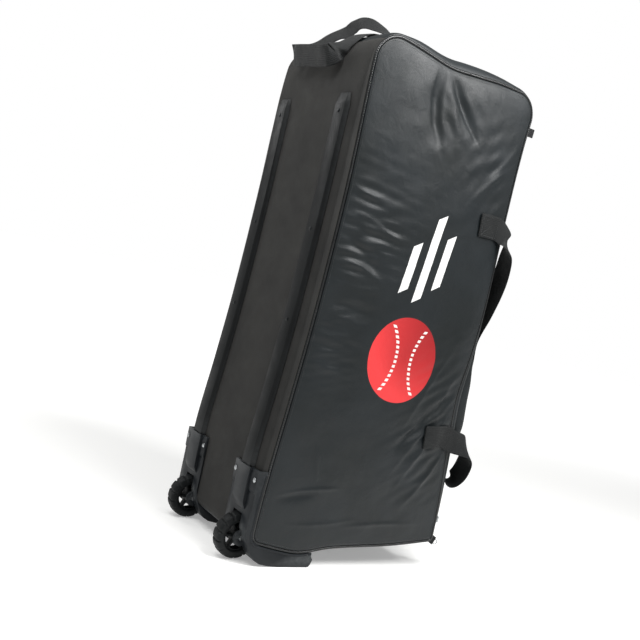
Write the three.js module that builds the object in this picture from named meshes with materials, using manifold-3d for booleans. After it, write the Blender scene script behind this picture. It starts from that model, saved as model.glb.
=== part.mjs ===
// Wheeled cricket kit bag, standing upright on its two wheels and two feet. Millimetres, +Z up.
// The stiff board with the rails and wheels faces -X, the zipped lid faces +X, and the two side
// panels face -Y (front) and +Y (back). Every length in a table is a share of a named size.
import * as THREE from "three";
import { mergeVertices } from "three/addons/utils/BufferGeometryUtils.js";
import Module from "manifold-3d";

const wasm = await Module();
wasm.setup();

// Bag body, seam to seam
const BAG_HEIGHT = 900;
const BAG_DEPTH = 400;
const BAG_WIDTH = 280;

// Sheet goods and the clearance that touching pieces keep
const CLOTH = 2;
const BOARD = 3.5;
const PIPING_RADIUS = 2.5;
const SIDE_BULGE = 16;
const GAP = 0.3;

// Wheels and their axles
const WHEEL_RADIUS = 41;
const WHEEL_WIDTH = 24;
const WHEEL_PLAY = 3;
const TREAD_DEPTH = 3;
const TREAD_BLOCKS = 14;
const RIM_WALL = 11;
const SPOKES = 6;
const SPOKE_WIDTH = 6;
const HUB_RADIUS = 12;
const AXLE_RADIUS = 4;
const AXLE_DROP = 9;
const AXLE_SETBACK = 18;

// Corner brackets that hold the wheels, and the rails that run up the board
const TRACK_INSET = 40;
const BRACKET_WIDTH = 82;
const BRACKET_HEIGHT = 118;
const BRACKET_PLATE = 3;
const BRACKET_PAD = 2;
const FLANGE = 3;
const FOOT_LENGTH = 128;
const CHEEK = 5;
const CHEEK_RADIUS = 14;
const WELL_CLEARANCE = 3;
const WELL_WALL = 3;
const HUMP_LENGTH = 42;
const RAIL_WIDTH = 41;
const RAIL_HEIGHT = 8;
const RAIL_BEVEL = 6;
const RAIL_TOP = 778;
const RAIL_TIP = 18;
const RIVET_RADIUS = 4.5;
const RIVET_HEIGHT = 2;
const RIVET_EDGE = 6;
const RIVET_DROP = 17;
const SCREW_RADIUS = 3.5;
const SCREW_HEIGHT = 1;

// Webbing, zip and lid pocket
const WEBBING = 2.5;
const CARRY_WIDTH = 45;
const TOW_WIDTH = 38;
const ZIP_WIDTH = 7;
const ZIP_HEIGHT = 1.6;
const ZIP_FROM_SEAM = 11;
const SLIDER_LENGTH = 13;
const SLIDER_WIDTH = 9;
const SLIDER_HEIGHT = 4;
const TAB_LENGTH = 16;
const TAB_WIDTH = 18;
const TAB_THICKNESS = 3;
const POCKET_EDGE = 20;
const POCKET_RISE = 40;

// How finely the cloth is drawn
const ALONG_STEPS = 21;
const END_STEPS = 12;
const ACROSS_STEPS = 8;
const ZIP_STEPS = 36;
const BUNCHING = 0.45;

const AXLE_HEIGHT = WHEEL_RADIUS;
const BODY_LEVEL = AXLE_HEIGHT + AXLE_DROP;
const RIM_INSET = PIPING_RADIUS + GAP;
const BODY_CENTRE = new THREE.Vector3(BAG_DEPTH / 2, BAG_WIDTH / 2, BODY_LEVEL + BAG_HEIGHT / 2);

// Corners of the side panel: places are shares of the depth and height, roundings of the depth
const CORNERS = [
  { name: "wheel end, board side", x: -0.025, z: -0.008, round: 0.035 },
  { name: "handle end, board side", x: 0, z: 0.993, round: 0.125 },
  { name: "handle end, lid side", x: 0.985, z: 1.005, round: 0.12 },
  { name: "wheel end, lid side", x: 1.025, z: 0.008, round: 0.02 },
];

// Panels of the band round the bag, each from the middle of one corner to the middle of the next.
// at: share of the panel's length. bow: how far the seam bows out, as a share of the depth.
// bulge: how far the panel stands out past its seams, as a share of the depth.
// round: 2 is a round cushion and 10 is a flat panel with tight edges.
const BOARD_SIDE = [
  { at: 0, bow: 0, bulge: 0.028, round: 8 },
  { at: 0.07, bow: 0, bulge: 0.034, round: 9 },
  { at: 0.15, bow: -0.004, bulge: 0.045, round: 10 },
  { at: 0.3, bow: -0.018, bulge: 0.045, round: 10 },
  { at: 0.45, bow: -0.028, bulge: 0.045, round: 10 },
  { at: 0.7, bow: -0.026, bulge: 0.045, round: 10 },
  { at: 0.82, bow: -0.015, bulge: 0.041, round: 10 },
  { at: 0.9, bow: -0.005, bulge: 0.034, round: 9 },
  { at: 0.95, bow: -0.001, bulge: 0.026, round: 8 },
  { at: 1, bow: 0, bulge: 0.014, round: 6 },
];
const HANDLE_SIDE = [
  { at: 0, bow: 0, bulge: 0.014, round: 6 },
  { at: 0.12, bow: 0, bulge: 0.035, round: 4 },
  { at: 0.25, bow: -0.012, bulge: 0.075, round: 2.6 },
  { at: 0.42, bow: -0.03, bulge: 0.095, round: 2.2 },
  { at: 0.6, bow: -0.017, bulge: 0.095, round: 2.2 },
  { at: 0.75, bow: -0.004, bulge: 0.08, round: 2.3 },
  { at: 0.9, bow: 0, bulge: 0.05, round: 2.5 },
  { at: 1, bow: 0, bulge: 0.035, round: 2.5 },
];
const LID_SIDE = [
  { at: 0, bow: 0, bulge: 0.035, round: 2.5 },
  { at: 0.1, bow: -0.017, bulge: 0.05, round: 2.2 },
  { at: 0.3, bow: -0.02, bulge: 0.062, round: 2 },
  { at: 0.46, bow: -0.014, bulge: 0.062, round: 2.1 },
  { at: 0.57, bow: -0.03, bulge: 0.062, round: 3 },
  { at: 0.67, bow: -0.057, bulge: 0.062, round: 4 },
  { at: 0.8, bow: -0.033, bulge: 0.055, round: 4 },
  { at: 0.93, bow: -0.006, bulge: 0.035, round: 4 },
  { at: 1, bow: 0, bulge: 0.02, round: 4 },
];
const WHEEL_SIDE = [
  { at: 0, bow: 0, bulge: 0.02, round: 4 },
  { at: 0.25, bow: 0.02, bulge: 0.018, round: 4 },
  { at: 0.6, bow: 0.031, bulge: 0.015, round: 5 },
  { at: 0.76, bow: 0.05, bulge: 0.015, round: 7 },
  { at: 0.88, bow: 0.03, bulge: 0.02, round: 8 },
  { at: 1, bow: 0, bulge: 0.028, round: 8 },
];

// Main folds of a side panel: straight from one end to the other, in shares of depth and height.
// width and out are shares of the depth, and a negative out is a dent.
const FOLDS = [
  { x0: 0.38, z0: 0.99, x1: 0.37, z1: 0.9, width: 0.035, out: -0.016 },
  { x0: 0.37, z0: 0.9, x1: 0.45, z1: 0.82, width: 0.035, out: -0.013 },
  { x0: 0.4, z0: 0.98, x1: 0.53, z1: 0.92, width: 0.03, out: -0.012 },
  { x0: 0.53, z0: 0.92, x1: 0.66, z1: 0.86, width: 0.035, out: -0.014 },
  { x0: 0.03, z0: 0.62, x1: 0.3, z1: 0.54, width: 0.04, out: -0.01 },
  { x0: 0.03, z0: 0.48, x1: 0.34, z1: 0.46, width: 0.045, out: -0.01 },
  { x0: 0.6, z0: 0.2, x1: 0.93, z1: 0.35, width: 0.035, out: -0.014 },
  { x0: 0.02, z0: 0.08, x1: 0.25, z1: 0.1, width: 0.03, out: -0.01 },
];

// Underside of the bracket's skid, from its toe to the wheel: shares of its length and of the
// height that the bag's body stands off the floor
const SKID = [
  { x: 0.99, z: 0.28 },
  { x: 0.975, z: 0.12 },
  { x: 0.95, z: 0.03 },
  { x: 0.92, z: 0 },
  { x: 0.42, z: 0 },
  { x: 0.25, z: 0.03 },
  { x: 0.12, z: 0.09 },
  { x: 0.02, z: 0.22 },
  { x: -0.05, z: 0.42 },
];

// Pocket on the wheel half of the lid. at: share of the lid's length. rise: share of POCKET_RISE.
const POCKET = [
  { at: 0.565, rise: 0 },
  { at: 0.575, rise: 0.25 },
  { at: 0.61, rise: 0.62 },
  { at: 0.66, rise: 0.93 },
  { at: 0.7, rise: 1 },
  { at: 0.745, rise: 0.95 },
  { at: 0.77, rise: 0.6 },
  { at: 0.785, rise: 0 },
];

// Free run of a carry handle over the lid, from its upper patch to its lower one.
// at: share of the lid's length. across: share of the width in from the handle's own side.
// lift: share of the depth above the lid or pocket. turn: degrees from edge-up to lying flat.
const CARRY_RUN = [
  { at: 0.3, across: -0.02, lift: 0.006, turn: 8 },
  { at: 0.31, across: -0.022, lift: 0.016, turn: 20 },
  { at: 0.33, across: -0.012, lift: 0.027, turn: 40 },
  { at: 0.36, across: 0.012, lift: 0.036, turn: 60 },
  { at: 0.395, across: 0.045, lift: 0.043, turn: 75 },
  { at: 0.435, across: 0.08, lift: 0.041, turn: 84 },
  { at: 0.48, across: 0.115, lift: 0.03, turn: 90 },
  { at: 0.54, across: 0.17, lift: 0.02, turn: 90 },
  { at: 0.59, across: 0.21, lift: 0.015, turn: 90 },
  { at: 0.65, across: 0.235, lift: 0.012, turn: 90 },
  { at: 0.71, across: 0.235, lift: 0.012, turn: 90 },
  { at: 0.76, across: 0.23, lift: 0.018, turn: 90 },
  { at: 0.8, across: 0.215, lift: 0.018, turn: 90 },
  { at: 0.83, across: 0.185, lift: 0.028, turn: 90 },
  { at: 0.849, across: 0.145, lift: 0.055, turn: 88 },
  { at: 0.85, across: 0.1, lift: 0.078, turn: 84 },
  { at: 0.836, across: 0.06, lift: 0.098, turn: 76 },
  { at: 0.812, across: 0.025, lift: 0.105, turn: 62 },
  { at: 0.79, across: -0.002, lift: 0.089, turn: 42 },
  { at: 0.777, across: -0.018, lift: 0.06, turn: 22 },
  { at: 0.772, across: -0.022, lift: 0.034, turn: 10 },
  { at: 0.77, across: -0.02, lift: 0.01, turn: 5 },
];
// Sewn patches of a carry handle on the side panel, in shares of depth and height
const CARRY_PATCH = { x0: 0.8, x1: 0.94, upper: 0.703, lower: 0.24 };

// Tow handle: a webbing loop with both ends sewn to the handle end, that hangs over its edge.
// side: panel it runs over. at: share of that panel. across: share of the width. lift: share of
// the depth above the panel. turn: degrees from lying flat, through edge-up, to flat again.
const TOW_RUN = [
  { side: 1, at: 0.254, across: 0.343, lift: 0.002, turn: 0 },
  { side: 1, at: 0.19, across: 0.339, lift: 0.002, turn: 0 },
  { side: 1, at: 0.12, across: 0.332, lift: 0.004, turn: 1 },
  { side: 1, at: 0.071, across: 0.325, lift: 0.007, turn: 3 },
  { side: 1, at: 0.027, across: 0.321, lift: 0.01, turn: 6 },
  { side: 0, at: 0.985, across: 0.318, lift: 0.016, turn: 12 },
  { side: 0, at: 0.97, across: 0.314, lift: 0.033, turn: 34 },
  { side: 0, at: 0.961, across: 0.307, lift: 0.043, turn: 70 },
  { side: 0, at: 0.955, across: 0.325, lift: 0.063, turn: 106 },
  { side: 0, at: 0.954, across: 0.368, lift: 0.068, turn: 113 },
  { side: 0, at: 0.957, across: 0.464, lift: 0.067, turn: 113 },
  { side: 0, at: 0.96, across: 0.6, lift: 0.068, turn: 113 },
  { side: 0, at: 0.962, across: 0.714, lift: 0.068, turn: 112 },
  { side: 0, at: 0.965, across: 0.764, lift: 0.063, turn: 105 },
  { side: 0, at: 0.971, across: 0.768, lift: 0.043, turn: 104 },
  { side: 0, at: 0.984, across: 0.718, lift: 0.026, turn: 110 },
  { side: 1, at: 0.011, across: 0.65, lift: 0.033, turn: 114 },
  { side: 1, at: 0.052, across: 0.596, lift: 0.04, turn: 114 },
  { side: 1, at: 0.075, across: 0.561, lift: 0.04, turn: 114 },
  { side: 1, at: 0.089, across: 0.532, lift: 0.059, turn: 118 },
  { side: 1, at: 0.099, across: 0.5, lift: 0.075, turn: 125 },
  { side: 1, at: 0.119, across: 0.464, lift: 0.076, turn: 131 },
  { side: 1, at: 0.151, across: 0.425, lift: 0.061, turn: 137 },
  { side: 1, at: 0.188, across: 0.393, lift: 0.041, turn: 145 },
  { side: 1, at: 0.223, across: 0.368, lift: 0.022, turn: 158 },
  { side: 1, at: 0.255, across: 0.35, lift: 0.014, turn: 172 },
];
// Smooth curve through the rows of a table, read at any share of its length
function smoothTable(rows, columns) {
  const places = rows.map((row) => row.at);
  const values = rows.flatMap((row) => columns.map((column) => row[column]));
  const curve = new THREE.CubicInterpolant(places, values, columns.length, new Float64Array(columns.length));
  return (at) => {
    const found = curve.evaluate(THREE.MathUtils.clamp(at, 0, 1));
    return Object.fromEntries(columns.map((column, i) => [column, found[i]]));
  };
}

// One side of the side panel's outline: half a corner arc, a straight run and half a corner arc,
// going clockwise as seen from the front, so that the outward normal lies on the left
function makeSide(index, rows) {
  const corner = (i) => CORNERS[(i + 4) % 4];
  const place = (i) => new THREE.Vector2(corner(i).x * BAG_DEPTH, BODY_LEVEL + corner(i).z * BAG_HEIGHT);
  const before = place(index).sub(place(index - 1)).normalize();
  const along = place(index + 1).sub(place(index)).normalize();
  const after = place(index + 2).sub(place(index + 1)).normalize();
  const normal = new THREE.Vector2(-along.y, along.x);
  const startTurn = Math.acos(before.dot(along));
  const endTurn = Math.acos(along.dot(after));
  const startRadius = corner(index).round * BAG_DEPTH;
  const endRadius = corner(index + 1).round * BAG_DEPTH;
  const lineStart = place(index).addScaledVector(along, startRadius * Math.tan(startTurn / 2));
  const lineEnd = place(index + 1).addScaledVector(along, -endRadius * Math.tan(endTurn / 2));
  const startArc = (startRadius * startTurn) / 2;
  const endArc = (endRadius * endTurn) / 2;
  const straight = lineStart.distanceTo(lineEnd);
  const read = smoothTable(rows, ["bow", "bulge", "round"]);
  const length = startArc + straight + endArc;

  const seamAt = (at) => {
    const run = at * length;
    const turn = Math.max(startArc - run, 0) / startRadius - Math.max(run - startArc - straight, 0) / endRadius;
    const out = normal.clone().rotateAround(new THREE.Vector2(), turn);
    const point = lineStart.clone().addScaledVector(along, THREE.MathUtils.clamp(run - startArc, 0, straight));
    const radius = turn > 0 ? startRadius : endRadius;
    point.addScaledVector(normal, -radius).addScaledVector(out, radius);
    point.addScaledVector(out, read(at).bow * BAG_DEPTH);
    return { point, out };
  };
  return { read, seamAt, length };
}
const SIDES = [BOARD_SIDE, HANDLE_SIDE, LID_SIDE, WHEEL_SIDE].map((rows, i) => makeSide(i, rows));
const [boardPanel, handlePanel, lidPanel, wheelPanel] = [0, 1, 2, 3];

// Even steps moved towards both ends of a panel, where the corners are
const bunched = (share) => share - (BUNCHING * Math.sin(2 * Math.PI * share)) / (2 * Math.PI);

// Height of a band panel over its seam line at a distance in from the front seam
function panelRise(side, at, y) {
  const { bulge, round } = SIDES[side].read(at);
  const offset = Math.min(Math.abs(1 - (2 * y) / BAG_WIDTH), 1);
  return bulge * BAG_DEPTH * (1 - offset ** round) ** (1 / round);
}

// Point over a band panel, lifted from its outer face
function bandPoint(side, at, y, lift = 0) {
  const { point, out } = SIDES[side].seamAt(at);
  const rise = panelRise(side, at, y) + lift;
  return new THREE.Vector3(point.x + out.x * rise, y, point.y + out.y * rise);
}

// Closed solid from numbered points and quads, turned to face outwards
function closedSolid(points, faces) {
  const triangles = faces.flatMap(([a, b, c, d]) => (d === undefined ? [a, b, c] : [a, b, c, a, c, d]));
  let volume = 0;
  for (let i = 0; i < triangles.length; i += 3) {
    const [a, b, c] = [0, 1, 2].map((k) => points[triangles[i + k]].clone().sub(BODY_CENTRE));
    volume += a.dot(b.cross(c));
  }
  if (volume < 0) triangles.reverse();
  const geometry = new THREE.BufferGeometry().setFromPoints(points);
  geometry.setIndex(triangles);
  return geometry;
}

// Sheet of cloth or board: an outer face over a grid of shares, and an inner face inside it
function sheet(across, along, outerPoint, thickness) {
  const row = across + 1;
  const count = row * (along + 1);
  const step = 1e-3;
  const outer = [];
  const inner = [];
  for (let j = 0; j <= along; j++) {
    for (let i = 0; i <= across; i++) {
      const [u, v] = [i / across, j / along];
      const point = outerPoint(u, v);
      const slopeU = outerPoint(Math.min(u + step, 1), v).sub(outerPoint(Math.max(u - step, 0), v));
      const slopeV = outerPoint(u, Math.min(v + step, 1)).sub(outerPoint(u, Math.max(v - step, 0)));
      const normal = slopeU.cross(slopeV).normalize();
      if (normal.dot(point.clone().sub(BODY_CENTRE)) < 0) normal.negate();
      outer.push(point);
      inner.push(point.clone().addScaledVector(normal, -thickness));
    }
  }
  const faces = [];
  const rim = (a, b) => faces.push([b, a, a + count, b + count]);
  for (let j = 0; j < along; j++) {
    for (let i = 0; i < across; i++) {
      const a = j * row + i;
      faces.push([a, a + 1, a + row + 1, a + row]);
      faces.push([a + count, a + row + count, a + row + 1 + count, a + 1 + count]);
    }
    rim((j + 1) * row, j * row);
    rim(j * row + across, (j + 1) * row + across);
  }
  for (let i = 0; i < across; i++) {
    rim(i, i + 1);
    rim(along * row + i + 1, along * row + i);
  }
  return closedSolid([...outer, ...inner], faces);
}

// Solid through a row of rings with equal counts, closed by end faces or joined into a loop
function sweep(rings, loop = false) {
  const sides = rings[0].length;
  const faces = [];
  const last = loop ? rings.length : rings.length - 1;
  for (let j = 0; j < last; j++) {
    const [here, next] = [j * sides, ((j + 1) % rings.length) * sides];
    for (let i = 0; i < sides; i++) {
      const k = (i + 1) % sides;
      faces.push([here + i, here + k, next + k, next + i]);
    }
  }
  if (!loop) {
    const end = (rings.length - 1) * sides;
    for (let i = 1; i < sides - 1; i++) {
      faces.push([0, i + 1, i], [end, end + i, end + i + 1]);
    }
  }
  return closedSolid(rings.flat(), faces);
}

// Flat webbing along stations of { point, wide }, where wide is the direction of its width
function webbing(stations, width, thickness) {
  const rings = stations.map(({ point, wide }, i) => {
    const before = stations[Math.max(i - 1, 0)].point;
    const after = stations[Math.min(i + 1, stations.length - 1)].point;
    const ahead = after.clone().sub(before).normalize();
    const across = wide.clone().addScaledVector(ahead, -wide.dot(ahead)).normalize();
    const face = new THREE.Vector3().crossVectors(ahead, across);
    return [[-1, -1], [1, -1], [1, 1], [-1, 1]].map(([a, b]) =>
      point.clone().addScaledVector(across, (a * width) / 2).addScaledVector(face, (b * thickness) / 2));
  });
  return sweep(rings);
}

// Stations resampled on a smooth curve through a hand-laid run
function smoothStations(stations, count) {
  const path = new THREE.CatmullRomCurve3(stations.map((s) => s.point), false, "centripetal");
  const turns = new THREE.CatmullRomCurve3(stations.map((s) => s.wide));
  return Array.from({ length: count + 1 }, (_, i) => ({
    point: path.getPoint(i / count),
    wide: turns.getPoint(i / count).normalize(),
  }));
}

// Booleans on closed geometry
function toSolid(geometry) {
  const bare = geometry.clone();
  bare.deleteAttribute("normal");
  bare.deleteAttribute("uv");
  const merged = mergeVertices(bare, 1e-4);
  const vertProperties = Float32Array.from(merged.attributes.position.array);
  return new wasm.Manifold(new wasm.Mesh({ numProp: 3, vertProperties, triVerts: Uint32Array.from(merged.index.array) }));
}
function toGeometry(solid) {
  const mesh = solid.getMesh();
  const geometry = new THREE.BufferGeometry();
  geometry.setAttribute("position", new THREE.BufferAttribute(Float32Array.from(mesh.vertProperties), 3));
  geometry.setIndex(new THREE.BufferAttribute(Uint32Array.from(mesh.triVerts), 1));
  return geometry;
}
const joined = (...geometries) => geometries.map(toSolid).reduce((whole, part) => whole.add(part));
const without = (solid, ...geometries) => geometries.map(toSolid).reduce((whole, part) => whole.subtract(part), solid);

// Outline in the XZ plane drawn as a plate from y0 to y1
function plateY(shape, y0, y1, curveSegments = 8) {
  const geometry = new THREE.ExtrudeGeometry(shape, { depth: y1 - y0, bevelEnabled: false, curveSegments });
  return geometry.rotateX(Math.PI / 2).translate(0, y1, 0);
}
// Round bar along Y about the axle's line
function barY(radius, y0, y1, segments) {
  const bar = new THREE.CylinderGeometry(radius, radius, y1 - y0, segments);
  return bar.translate(-AXLE_SETBACK, (y0 + y1) / 2, AXLE_HEIGHT);
}

const MATERIALS = {
  sideCloth: new THREE.MeshStandardMaterial({ color: 0x23282a, roughness: 0.45, metalness: 0 }),
  boardCloth: new THREE.MeshStandardMaterial({ color: 0x2b2b29, roughness: 0.8, metalness: 0 }),
  endCloth: new THREE.MeshStandardMaterial({ color: 0x222628, roughness: 0.5, metalness: 0 }),
  piping: new THREE.MeshStandardMaterial({ color: 0x1a1c1d, roughness: 0.35, metalness: 0 }),
  webbing: new THREE.MeshStandardMaterial({ color: 0x1c1e1f, roughness: 0.75, metalness: 0 }),
  plastic: new THREE.MeshStandardMaterial({ color: 0x141617, roughness: 0.4, metalness: 0 }),
  wheel: new THREE.MeshStandardMaterial({ color: 0x17191a, roughness: 0.5, metalness: 0 }),
  zip: new THREE.MeshStandardMaterial({ color: 0x202223, roughness: 0.3, metalness: 0 }),
  steel: new THREE.MeshStandardMaterial({ color: 0x8f9294, roughness: 0.35, metalness: 1 }),
};
const bag = new THREE.Group();
function addPiece(name, geometry, material) {
  const mesh = new THREE.Mesh(geometry, material);
  mesh.name = name;
  bag.add(mesh);
  return mesh;
}
// The front piece of a pair is drawn near y = 0, and the back one is its mirror image
function addPair(name, geometry, material) {
  addPiece(`${name}_front`, geometry, material);
  const back = geometry.clone().scale(1, -1, 1).translate(0, BAG_WIDTH, 0);
  const turned = back.index ? back : mergeVertices(back);
  turned.setIndex(Array.from(turned.index.array).reverse());
  addPiece(`${name}_back`, turned, material);
}

// Side panels: a patch between the four seams, bulged out, with the main folds
const inset = (side, at) => {
  const { point, out } = SIDES[side].seamAt(at);
  return point.addScaledVector(out, -RIM_INSET);
};
function sideOutline(u, v) {
  const [left, right] = [inset(boardPanel, v), inset(lidPanel, 1 - v)];
  const [low, high] = [inset(wheelPanel, 1 - u), inset(handlePanel, u)];
  const mixed = left.multiplyScalar(1 - u).addScaledVector(right, u);
  mixed.addScaledVector(low, 1 - v).addScaledVector(high, v);
  const corners = [[0, 0], [1, 0], [0, 1], [1, 1]];
  for (const [a, b] of corners) {
    const weight = (a ? u : 1 - u) * (b ? v : 1 - v);
    mixed.addScaledVector(inset(b ? handlePanel : wheelPanel, b ? a : 1 - a), -weight);
  }
  return mixed;
}
function foldHeight(x, z) {
  const point = new THREE.Vector3(x, 0, z);
  return FOLDS.reduce((sum, fold) => {
    const from = new THREE.Vector3(fold.x0 * BAG_DEPTH, 0, BODY_LEVEL + fold.z0 * BAG_HEIGHT);
    const to = new THREE.Vector3(fold.x1 * BAG_DEPTH, 0, BODY_LEVEL + fold.z1 * BAG_HEIGHT);
    const nearest = new THREE.Line3(from, to).closestPointToPoint(point, true, new THREE.Vector3());
    const away = nearest.distanceTo(point) / (fold.width * BAG_DEPTH);
    return sum + fold.out * BAG_DEPTH * Math.exp(-away * away);
  }, 0);
}
function sidePoint(u, v, lift = 0) {
  const place = sideOutline(u, v);
  const crown = (4 * u * (1 - u)) ** 0.6 * (4 * v * (1 - v)) ** 0.5;
  const out = crown * SIDE_BULGE + Math.min(crown * 2, 1) * foldHeight(place.x, place.y);
  return new THREE.Vector3(place.x, -CLOTH / 2 - out - lift, place.y);
}
const sideSheet = sheet(END_STEPS, ALONG_STEPS, (u, v) => sidePoint(bunched(u), bunched(v)), CLOTH);
addPair("side_panel", sideSheet, MATERIALS.sideCloth);

// Band panels round the bag. The steps across bunch up at the tight edges.
function bandOuter(side, u, v) {
  const trim = GAP / SIDES[side].length;
  const at = THREE.MathUtils.lerp(trim, 1 - trim, bunched(v));
  const { bulge, round } = SIDES[side].read(at);
  const edge = Math.asin((RIM_INSET / (bulge * BAG_DEPTH)) ** (round / 2));
  const angle = THREE.MathUtils.lerp(edge, Math.PI - edge, u);
  const reach = Math.sign(Math.cos(angle)) * Math.abs(Math.cos(angle)) ** (2 / round);
  return bandPoint(side, at, (BAG_WIDTH / 2) * (1 - reach));
}
const bandSheet = (side, along, across, thickness) =>
  sheet(across, along, (u, v) => bandOuter(side, u, v), thickness);

// The board and the wheel end are cut out round the two wheel wells
const wellRadius = WHEEL_RADIUS + WELL_CLEARANCE;
const wellHalfWidth = WHEEL_WIDTH / 2 + WHEEL_PLAY;
const housingRadius = wellRadius + WELL_WALL;
const housingHalfWidth = wellHalfWidth + CHEEK;
const wellCuts = [TRACK_INSET, BAG_WIDTH - TRACK_INSET].map((y) =>
  barY(housingRadius + GAP, y - housingHalfWidth - GAP, y + housingHalfWidth + GAP, 24));
const boardSheet = bandSheet(boardPanel, ALONG_STEPS, ACROSS_STEPS, BOARD);
const wheelSheet = bandSheet(wheelPanel, END_STEPS, ACROSS_STEPS, CLOTH);
addPiece("base_board", toGeometry(without(toSolid(boardSheet), ...wellCuts)), MATERIALS.boardCloth);
addPiece("wheel_end_panel", toGeometry(without(toSolid(wheelSheet), ...wellCuts)), MATERIALS.endCloth);
addPiece("handle_end_panel", bandSheet(handlePanel, END_STEPS, ACROSS_STEPS + 2, CLOTH), MATERIALS.endCloth);
addPiece("lid_panel", bandSheet(lidPanel, ALONG_STEPS, ACROSS_STEPS + 2, CLOTH), MATERIALS.endCloth);

// Piping cord in the seam round each side panel
const PIPING_SIDES = 4;
const PIPING_STEPS = [ALONG_STEPS, END_STEPS, ALONG_STEPS, END_STEPS];
const pipingRings = SIDES.flatMap((side, i) =>
  Array.from({ length: PIPING_STEPS[i] }, (_, j) => {
    const { point, out } = side.seamAt(bunched(j / PIPING_STEPS[i]));
    return Array.from({ length: PIPING_SIDES }, (__, k) => {
      const angle = (2 * Math.PI * k) / PIPING_SIDES;
      const reach = Math.cos(angle) * PIPING_RADIUS;
      const y = Math.sin(angle) * PIPING_RADIUS;
      return new THREE.Vector3(point.x + out.x * reach, y, point.y + out.y * reach);
    });
  }));
addPair("piping", sweep(pipingRings, true), MATERIALS.piping);

// Share of the board's length at a height over the bag's lower corner
const boardLow = SIDES[boardPanel].seamAt(0).point.y - BODY_LEVEL;
const boardHigh = SIDES[boardPanel].seamAt(1).point.y - BODY_LEVEL;
const boardShare = (height) => (height - boardLow) / (boardHigh - boardLow);

// Rails: a bevelled hat section that follows the board, with a tapered tip
function railGeometry() {
  const steps = 16;
  const low = boardShare(BRACKET_HEIGHT + GAP);
  const high = boardShare(RAIL_TOP);
  const tip = boardShare(RAIL_TIP);
  const stops = Array.from({ length: steps + 1 }, (_, i) => THREE.MathUtils.lerp(low, high - tip, i / steps));
  const rings = [...stops, high].map((at, i) => {
    const taper = i > steps ? 0.45 : 1;
    const half = (RAIL_WIDTH / 2) * (i > steps ? 0.7 : 1);
    const section = [[-half, 0], [half, 0], [half - RAIL_BEVEL * taper, RAIL_HEIGHT * taper],
      [-half + RAIL_BEVEL * taper, RAIL_HEIGHT * taper]];
    const top = SIDES[boardPanel].read(at).bulge * BAG_DEPTH;
    const { point, out } = SIDES[boardPanel].seamAt(at);
    return section.map(([across, height]) => {
      const rise = top + GAP + height;
      return new THREE.Vector3(point.x + out.x * rise, TRACK_INSET + across, point.y + out.y * rise);
    });
  });
  return sweep(rings);
}
addPair("rail", railGeometry(), MATERIALS.plastic);

// Low domed head on the board side, pointing to -X
function headGeometry(radius, height, at, y, seat) {
  const profile = [[0, 0], [radius, 0], [radius * 0.7, height * 0.8], [0, height]];
  const head = new THREE.LatheGeometry(profile.map(([r, h]) => new THREE.Vector2(r, h)), 8);
  const { point, out } = SIDES[boardPanel].seamAt(at);
  const rise = SIDES[boardPanel].read(at).bulge * BAG_DEPTH + seat + GAP;
  const seatPoint = new THREE.Vector3(point.x + out.x * rise, y, point.y + out.y * rise);
  const turn = new THREE.Quaternion().setFromUnitVectors(new THREE.Vector3(0, 1, 0), new THREE.Vector3(out.x, 0, out.y));
  return head.applyQuaternion(turn).translate(seatPoint.x, seatPoint.y, seatPoint.z);
}
// Screws of a rail, at shares of the rail's top height
const RAIL_SCREWS = [{ name: "low", share: 0.485 }, { name: "mid", share: 0.692 }, { name: "high", share: 0.958 }];
for (const { name, share } of RAIL_SCREWS) {
  const seat = RAIL_HEIGHT + GAP;
  const place = boardShare(RAIL_TOP * share);
  addPair(`rail_screw_${name}`, headGeometry(SCREW_RADIUS, SCREW_HEIGHT, place, TRACK_INSET, seat), MATERIALS.steel);
}

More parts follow.
